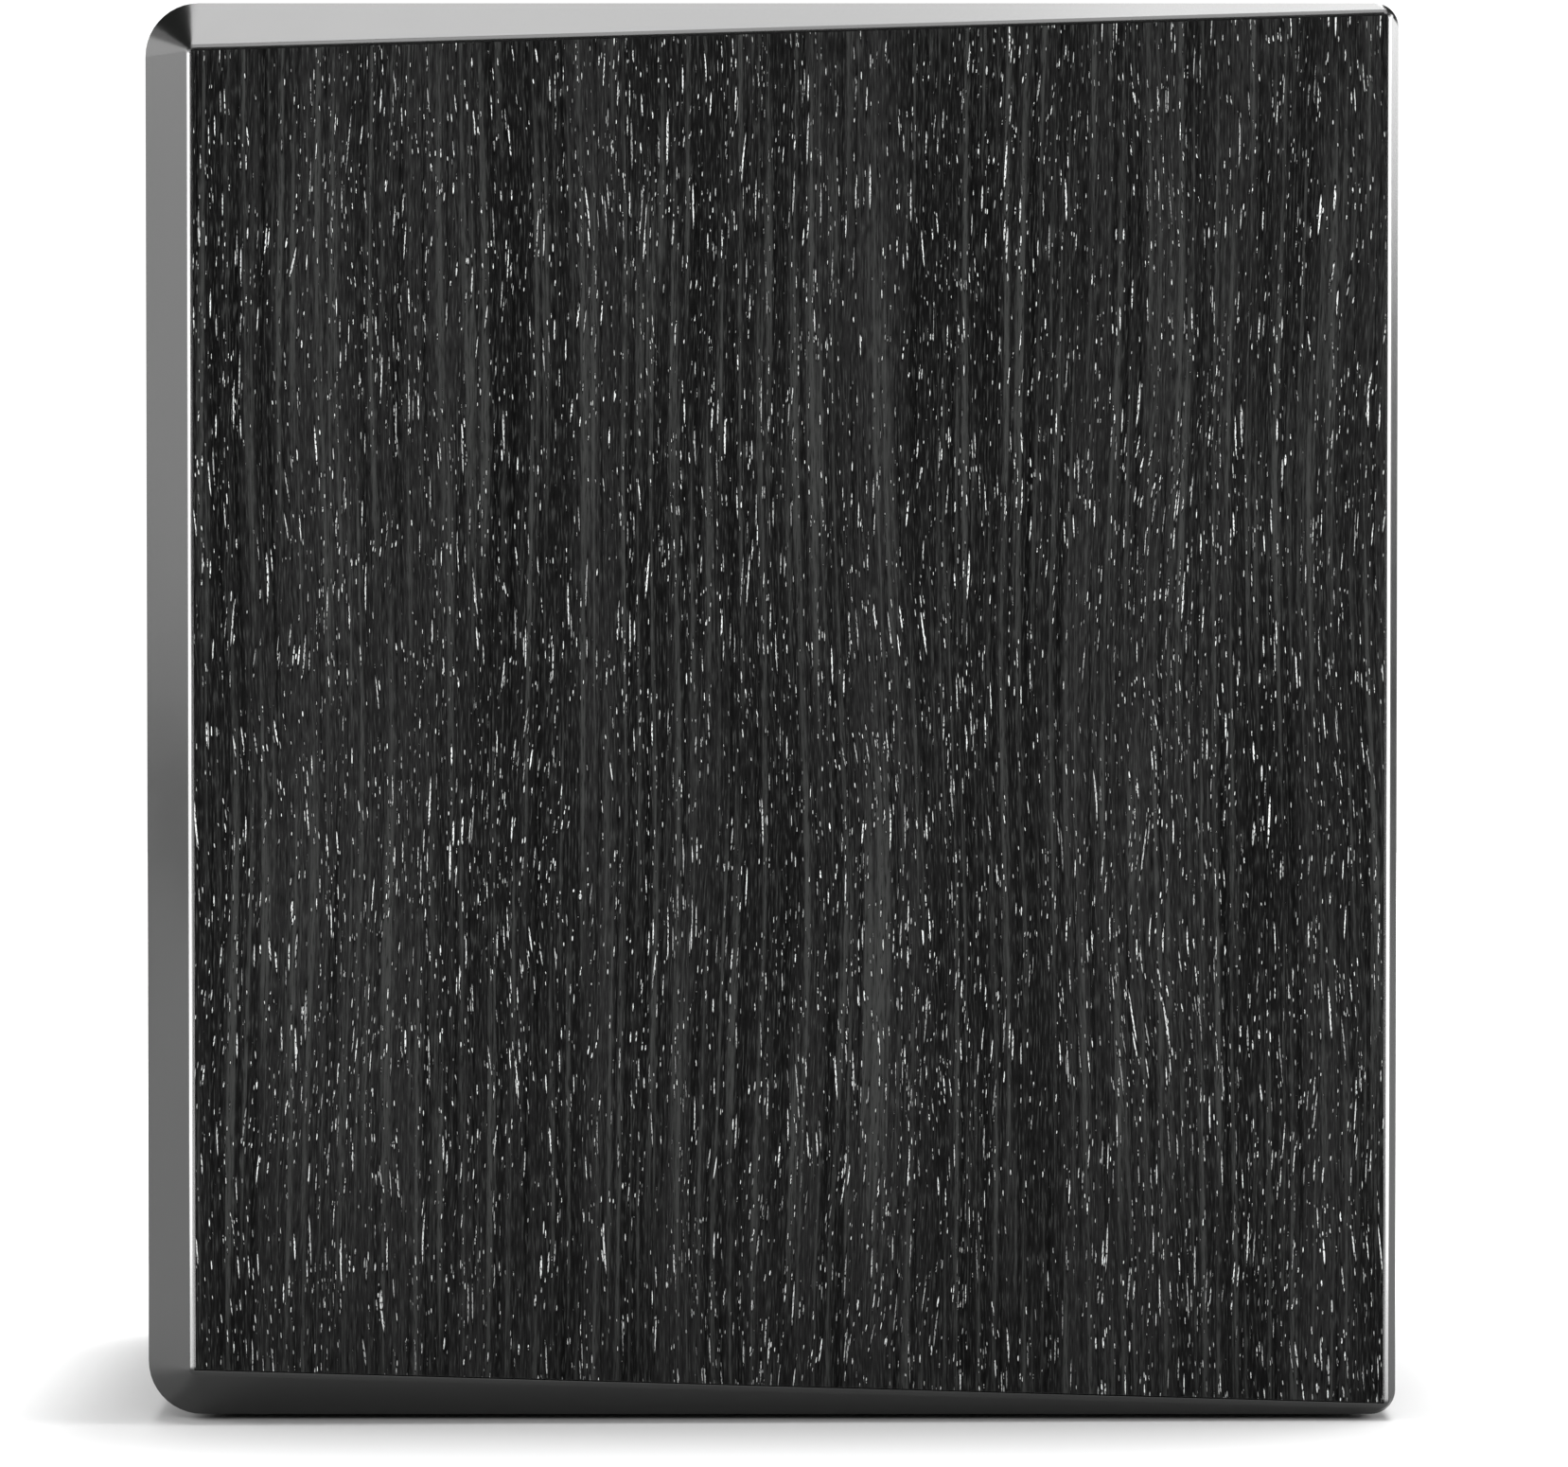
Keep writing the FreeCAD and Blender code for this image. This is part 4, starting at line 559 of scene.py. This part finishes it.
def makeLeads():
    curve = bpy.data.curves.new("tinselLeads", "CURVE")
    curve.dimensions = "3D"
    curve.bevel_depth = leadLooks["radius"] / 1000
    curve.bevel_resolution = 4
    curve.resolution_u = 10
    curve.use_fill_caps = True
    for x in (-leadLooks["halfGap"], leadLooks["halfGap"]):
        line = curve.splines.new("NURBS")
        line.points.add(len(leadLooks["points"]) - 1)
        for point, (y, z) in zip(line.points, leadLooks["points"]):
            point.co = (x / 1000, y / 1000, z / 1000, 1.0)
        line.order_u = 3
        line.use_endpoint_u = True
    drawn = bpy.data.objects.new("tinselLeadCurve", curve)
    bpy.context.collection.objects.link(drawn)
    mesh = bpy.data.meshes.new_from_object(drawn)
    bpy.data.objects.remove(drawn)
    leads = bpy.data.objects.new("tinselLeads", mesh)
    bpy.context.collection.objects.link(leads)
    mesh.materials.clear()
    mesh.materials.append(finishes["copper_braid"])
    mesh.shade_smooth()
    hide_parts("woofer_leads")
    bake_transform(leads)


makeLeads()

# polyester wadding: two pads, swollen a little between their faces
waddingLooks = {
    "pads": [((-65.1, -90.0, 313.5), (65.1, 5.0, 335.0)), ((-59.1, 113.0, 128.0), (59.1, 138.5, 232.5))],
    "inset": 2.5, "swell": 2.5, "voxel": 4.5, "pressure": 4.0, "round": 7.0, "fill": 0.45, "lastFrame": 20,
    "low": "#c4c5c1", "high": "#f0f0ec", "cloud": 14.0, "strand": 1.4, "depth": 1.6,
}


def bondedPolyester():
    # heat-bonded polyester fibre: white and matt, with a cloudy surface and loose ends
    looks = waddingLooks
    material, tree, shader, place = startMaterial("bondedPolyester", {"Roughness": 1.0, "Sheen Weight": 0.4})
    cloud = addNode(tree, "TexNoise", {"Vector": place, "Scale": 1 / looks["cloud"], "Detail": 4.0})
    strand = addNode(tree, "TexNoise", {
        "Vector": place, "Scale": 1 / looks["strand"], "Detail": 6.0, "Distortion": 1.5,
    })
    mixed = addNode(tree, "Mix", {0: 0.5, 2: cloud, 3: strand})
    share = addNode(tree, "MapRange", (mixed, 0.35, 0.62), **smooth)
    colour = addNode(tree, "Mix", {0: share, 6: linear(looks["low"]), 7: linear(looks["high"])}, **colourMix)
    bump = addNode(tree, "Bump", {"Height": mixed, "Distance": looks["depth"] / 1000})
    tree.links.new(colour, shader.inputs["Base Color"])
    tree.links.new(bump, shader.inputs["Normal"])
    return material


def settle(piece):
    # takes the shape that the modifiers give as the piece's own mesh
    seen = piece.evaluated_get(bpy.context.evaluated_depsgraph_get())
    mesh = bpy.data.meshes.new_from_object(seen)
    piece.modifiers.clear()
    old, piece.data = piece.data, mesh
    bpy.data.meshes.remove(old)


def makePad(name, low, high, material):
    looks = waddingLooks
    low, high = Vector(low) / 1000, Vector(high) / 1000
    inset = Vector((1, 1, 1)) * looks["inset"] / 1000
    shape = bmesh.new()
    bmesh.ops.create_cube(shape, size=1.0)
    bmesh.ops.scale(shape, verts=shape.verts[:], vec=high - low - inset * 2)
    bmesh.ops.translate(shape, verts=shape.verts[:], vec=(high + low) / 2)
    bmesh.ops.bevel(shape, geom=shape.edges[:], offset=looks["round"] / 1000, affect="EDGES", segments=4,
                    profile=0.5, material=-1)
    mesh = bpy.data.meshes.new(name)
    shape.to_mesh(mesh)
    shape.free()
    pad = bpy.data.objects.new(name, mesh)
    bpy.context.collection.objects.link(pad)
    remesh = pad.modifiers.new("remesh", "REMESH")
    remesh.mode = "VOXEL"
    remesh.voxel_size = looks["voxel"] / 1000
    settle(pad)
    before = [vertex.co.copy() for vertex in pad.data.vertices]
    cloth = pad.modifiers.new("cloth", "CLOTH")
    cloth.settings.use_pressure = True
    cloth.settings.uniform_pressure_force = looks["pressure"]
    cloth.settings.effector_weights.gravity = 0
    cloth.point_cache.frame_start, cloth.point_cache.frame_end = 1, looks["lastFrame"]
    for step in range(1, looks["lastFrame"] + 1):
        bpy.context.scene.frame_set(step)
    settle(pad)
    bpy.context.scene.frame_set(1)
    most = looks["swell"] / 1000
    for vertex, old in zip(pad.data.vertices, before):
        moved = vertex.co - old
        if moved.length > most:
            vertex.co = old + moved.normalized() * most
    rounding = pad.modifiers.new("rounding", "SUBSURF")
    rounding.levels = rounding.render_levels = 1
    settle(pad)
    pad.data.shade_smooth()
    pad.data.materials.append(material)
    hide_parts("wadding")
    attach(pad, "cabinet")


waddingCloth = bondedPolyester()
for number, (low, high) in enumerate(waddingLooks["pads"], 1):
    makePad(f"waddingPad{number}", low, high, waddingCloth)
print("soft pieces made")


# stage: a painted floor, matt and pale, that runs out into a white background
# fades are in millimetres: near is from the cabinet's footprint, where the weaker glow paints a soft shadow
# round the base, far is from the middle of the floor
floorLooks = {
    "radius": 3.0, "tint": "#ececec", "near": (10.0, 175.0, 0.0, 0.55), "far": (700.0, 2000.0, 0.0, 0.6),
    "ahead": 2.8,
}


def makeFloor():
    mesh = bpy.data.meshes.new("floor")
    shape = bmesh.new()
    bmesh.ops.create_circle(shape, cap_ends=True, segments=96, radius=floorLooks["radius"])
    shape.to_mesh(mesh)
    shape.free()
    floor = bpy.data.objects.new("floor", mesh)
    bpy.context.collection.objects.link(floor)
    material, tree, shader, place = startMaterial("paintedFloor", {
        "Base Color": linear(floorLooks["tint"]), "Roughness": 0.8, "Specular IOR Level": 0.1,
        "Emission Color": linear("#ffffff"),
    })
    # it glows more the further it is from the cabinet's footprint, so that it ends as white as the
    # background; the weaker glow near the footprint is a painted shadow round the cabinet's base
    foot = (cadBox[1].x * 1000, cadBox[1].y * 1000, 0.0)
    past = addNode(tree, "VectorMath", (place,), operation="ABSOLUTE")
    past = addNode(tree, "VectorMath", (past, foot), operation="SUBTRACT")
    past = addNode(tree, "VectorMath", (past, (0.0, 0.0, 0.0)), operation="MAXIMUM")
    # the painted shadow reaches less far beyond the cabinet's front and rear than beyond its sides
    past = addNode(tree, "VectorMath", (past, (1.0, floorLooks["ahead"], 1.0)), operation="MULTIPLY")
    away = addNode(tree, "VectorMath", (past,), output="Value", operation="LENGTH")
    near = addNode(tree, "MapRange", (away, *floorLooks["near"]), **smooth)
    out = addNode(tree, "VectorMath", (place,), output="Value", operation="LENGTH")
    far = addNode(tree, "MapRange", (out, *floorLooks["far"]), **smooth)
    glow = addNode(tree, "Math", (near, far), operation="ADD")
    tree.links.new(glow, shader.inputs["Emission Strength"])
    mesh.materials.append(material)


# lights: name, place, target, size, brightness of the face, and what it is for
# "frame" lights fall on the lacquered side frames alone, "fill" lights are never seen in reflections
lights = [
    ("topLightFront", (-0.17, -0.16, 1.7), (-0.17, -0.16, 0.0), (0.9, 0.6), 7.4, "all"),
    ("topLightRear", (-0.17, 0.46, 1.7), (-0.17, 0.46, 0.0), (0.9, 0.64), 11.5, "all"),
    ("frameLightFront", (0.2, -1.7, 0.57), (0.1, -0.1, 0.3), (1.0, 0.9), 2.6, "frame"),
    ("frameLightRear", (0.2, 1.7, 0.8), (0.1, 0.1, 0.3), (1.0, 0.9), 13.0, "frame"),
    ("edgeLightFront", (0.37, -0.48, 0.2), (0.1, -0.15, 0.2), (0.5, 0.6), 4.5, "frame"),
    ("edgeLightRear", (0.37, 0.48, 0.2), (0.1, 0.15, 0.2), (0.5, 0.6), 4.5, "frame"),
    ("edgeLightTop", (0.55, 0.1, 0.95), (0.1, 0.05, 0.35), (1.0, 0.7), 5.0, "frame"),
    ("softFront", (0.3, -1.9, 1.0), (0.0, -0.1, 0.2), (1.3, 1.1), 1.3, "all"),
    ("softRear", (0.3, 1.9, 1.0), (0.0, 0.1, 0.2), (1.3, 1.1), 1.3, "all"),
    ("fillFront", (0.0, -2.4, 1.3), (0.0, -0.1, 0.2), (1.6, 1.2), 2.6, "fill"),
    ("fillRear", (0.0, 2.4, 1.3), (0.0, 0.1, 0.2), (1.6, 1.2), 2.6, "fill"),
    ("fillRight", (2.6, 0.0, 1.2), (0.0, 0.0, 0.2), (1.6, 1.0), 4.0, "fill"),
    ("softLeft", (-2.6, 0.0, 1.2), (0.0, 0.0, 0.2), (1.6, 1.0), 3.2, "all"),
]


def makeLights():
    # area lights that face their targets; power follows from the brightness wanted of the face
    framed = bpy.data.collections.new("litByFrameLights")
    for name in sideFrames:
        framed.objects.link(nodes[name])
    for name, place, target, (width, height), brightness, use in lights:
        light = bpy.data.lights.new(name, "AREA")
        light.shape = "RECTANGLE"
        light.size, light.size_y = width, height
        light.energy = brightness * math.pi * width * height
        lamp = bpy.data.objects.new(name, light)
        lamp.location = place
        lamp.rotation_euler = (Vector(target) - Vector(place)).to_track_quat("-Z", "Y").to_euler()
        lamp.visible_camera = False
        lamp.visible_glossy = use != "fill"
        lamp.visible_diffuse = use != "frame"
        if use == "frame":
            lamp.light_linking.receiver_collection = framed
        bpy.context.collection.objects.link(lamp)


# camera: square on to the side, a long lens a little above the middle
cameraLooks = {
    "distance": 1.8, "tilt": math.radians(1.7), "frameWidth": 0.389, "sideways": 0.003, "drop": 0.0057,
    "beyond": 0.005, "sensor": 36.0,
}


def makeCamera():
    camera = bpy.data.cameras.new("camera")
    camera.sensor_width = cameraLooks["sensor"]
    camera.lens = camera.sensor_width * cameraLooks["distance"] / cameraLooks["frameWidth"]
    camera.dof.use_dof = False
    low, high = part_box("right_cheek")
    middle = (low.z + high.z) / 2 - cameraLooks["drop"]
    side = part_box("front_baffle")[1].x + cameraLooks["beyond"]
    target = Vector((side, cameraLooks["sideways"], middle))
    back = Vector((math.cos(cameraLooks["tilt"]), 0, math.sin(cameraLooks["tilt"])))
    eye = bpy.data.objects.new("camera", camera)
    eye.location = target + back * cameraLooks["distance"]
    eye.rotation_euler = (-back).to_track_quat("-Z", "Y").to_euler()
    bpy.context.collection.objects.link(eye)
    bpy.context.scene.camera = eye


# white behind the object, dim in reflections so that they have dark edges, and a soft fill for the rest
worldLooks = {"seen": 1.15, "mirrored": 0.03, "fill": 0.3}


def makeWorld():
    world = bpy.data.worlds.new("studio")
    bpy.context.scene.world = world
    world.use_nodes = True
    tree = world.node_tree
    tree.nodes.clear()
    seen = addNode(tree, "LightPath", output="Is Camera Ray")
    white = linear("#ffffff")
    uses = ("seen", "mirrored", "fill")
    backdrop, dim, fill = [addNode(tree, "Background", (white, worldLooks[use])) for use in uses]
    mixed = addNode(tree, "MixShader", (seen.node.outputs["Is Glossy Ray"], fill, dim))
    mixed = addNode(tree, "MixShader", (seen, mixed, backdrop))
    addNode(tree, "OutputWorld", {"Surface": mixed})


makeFloor()
makeCamera()
makeWorld()
makeLights()
bpy.context.scene.view_settings.view_transform = "Standard"
print("stage made")
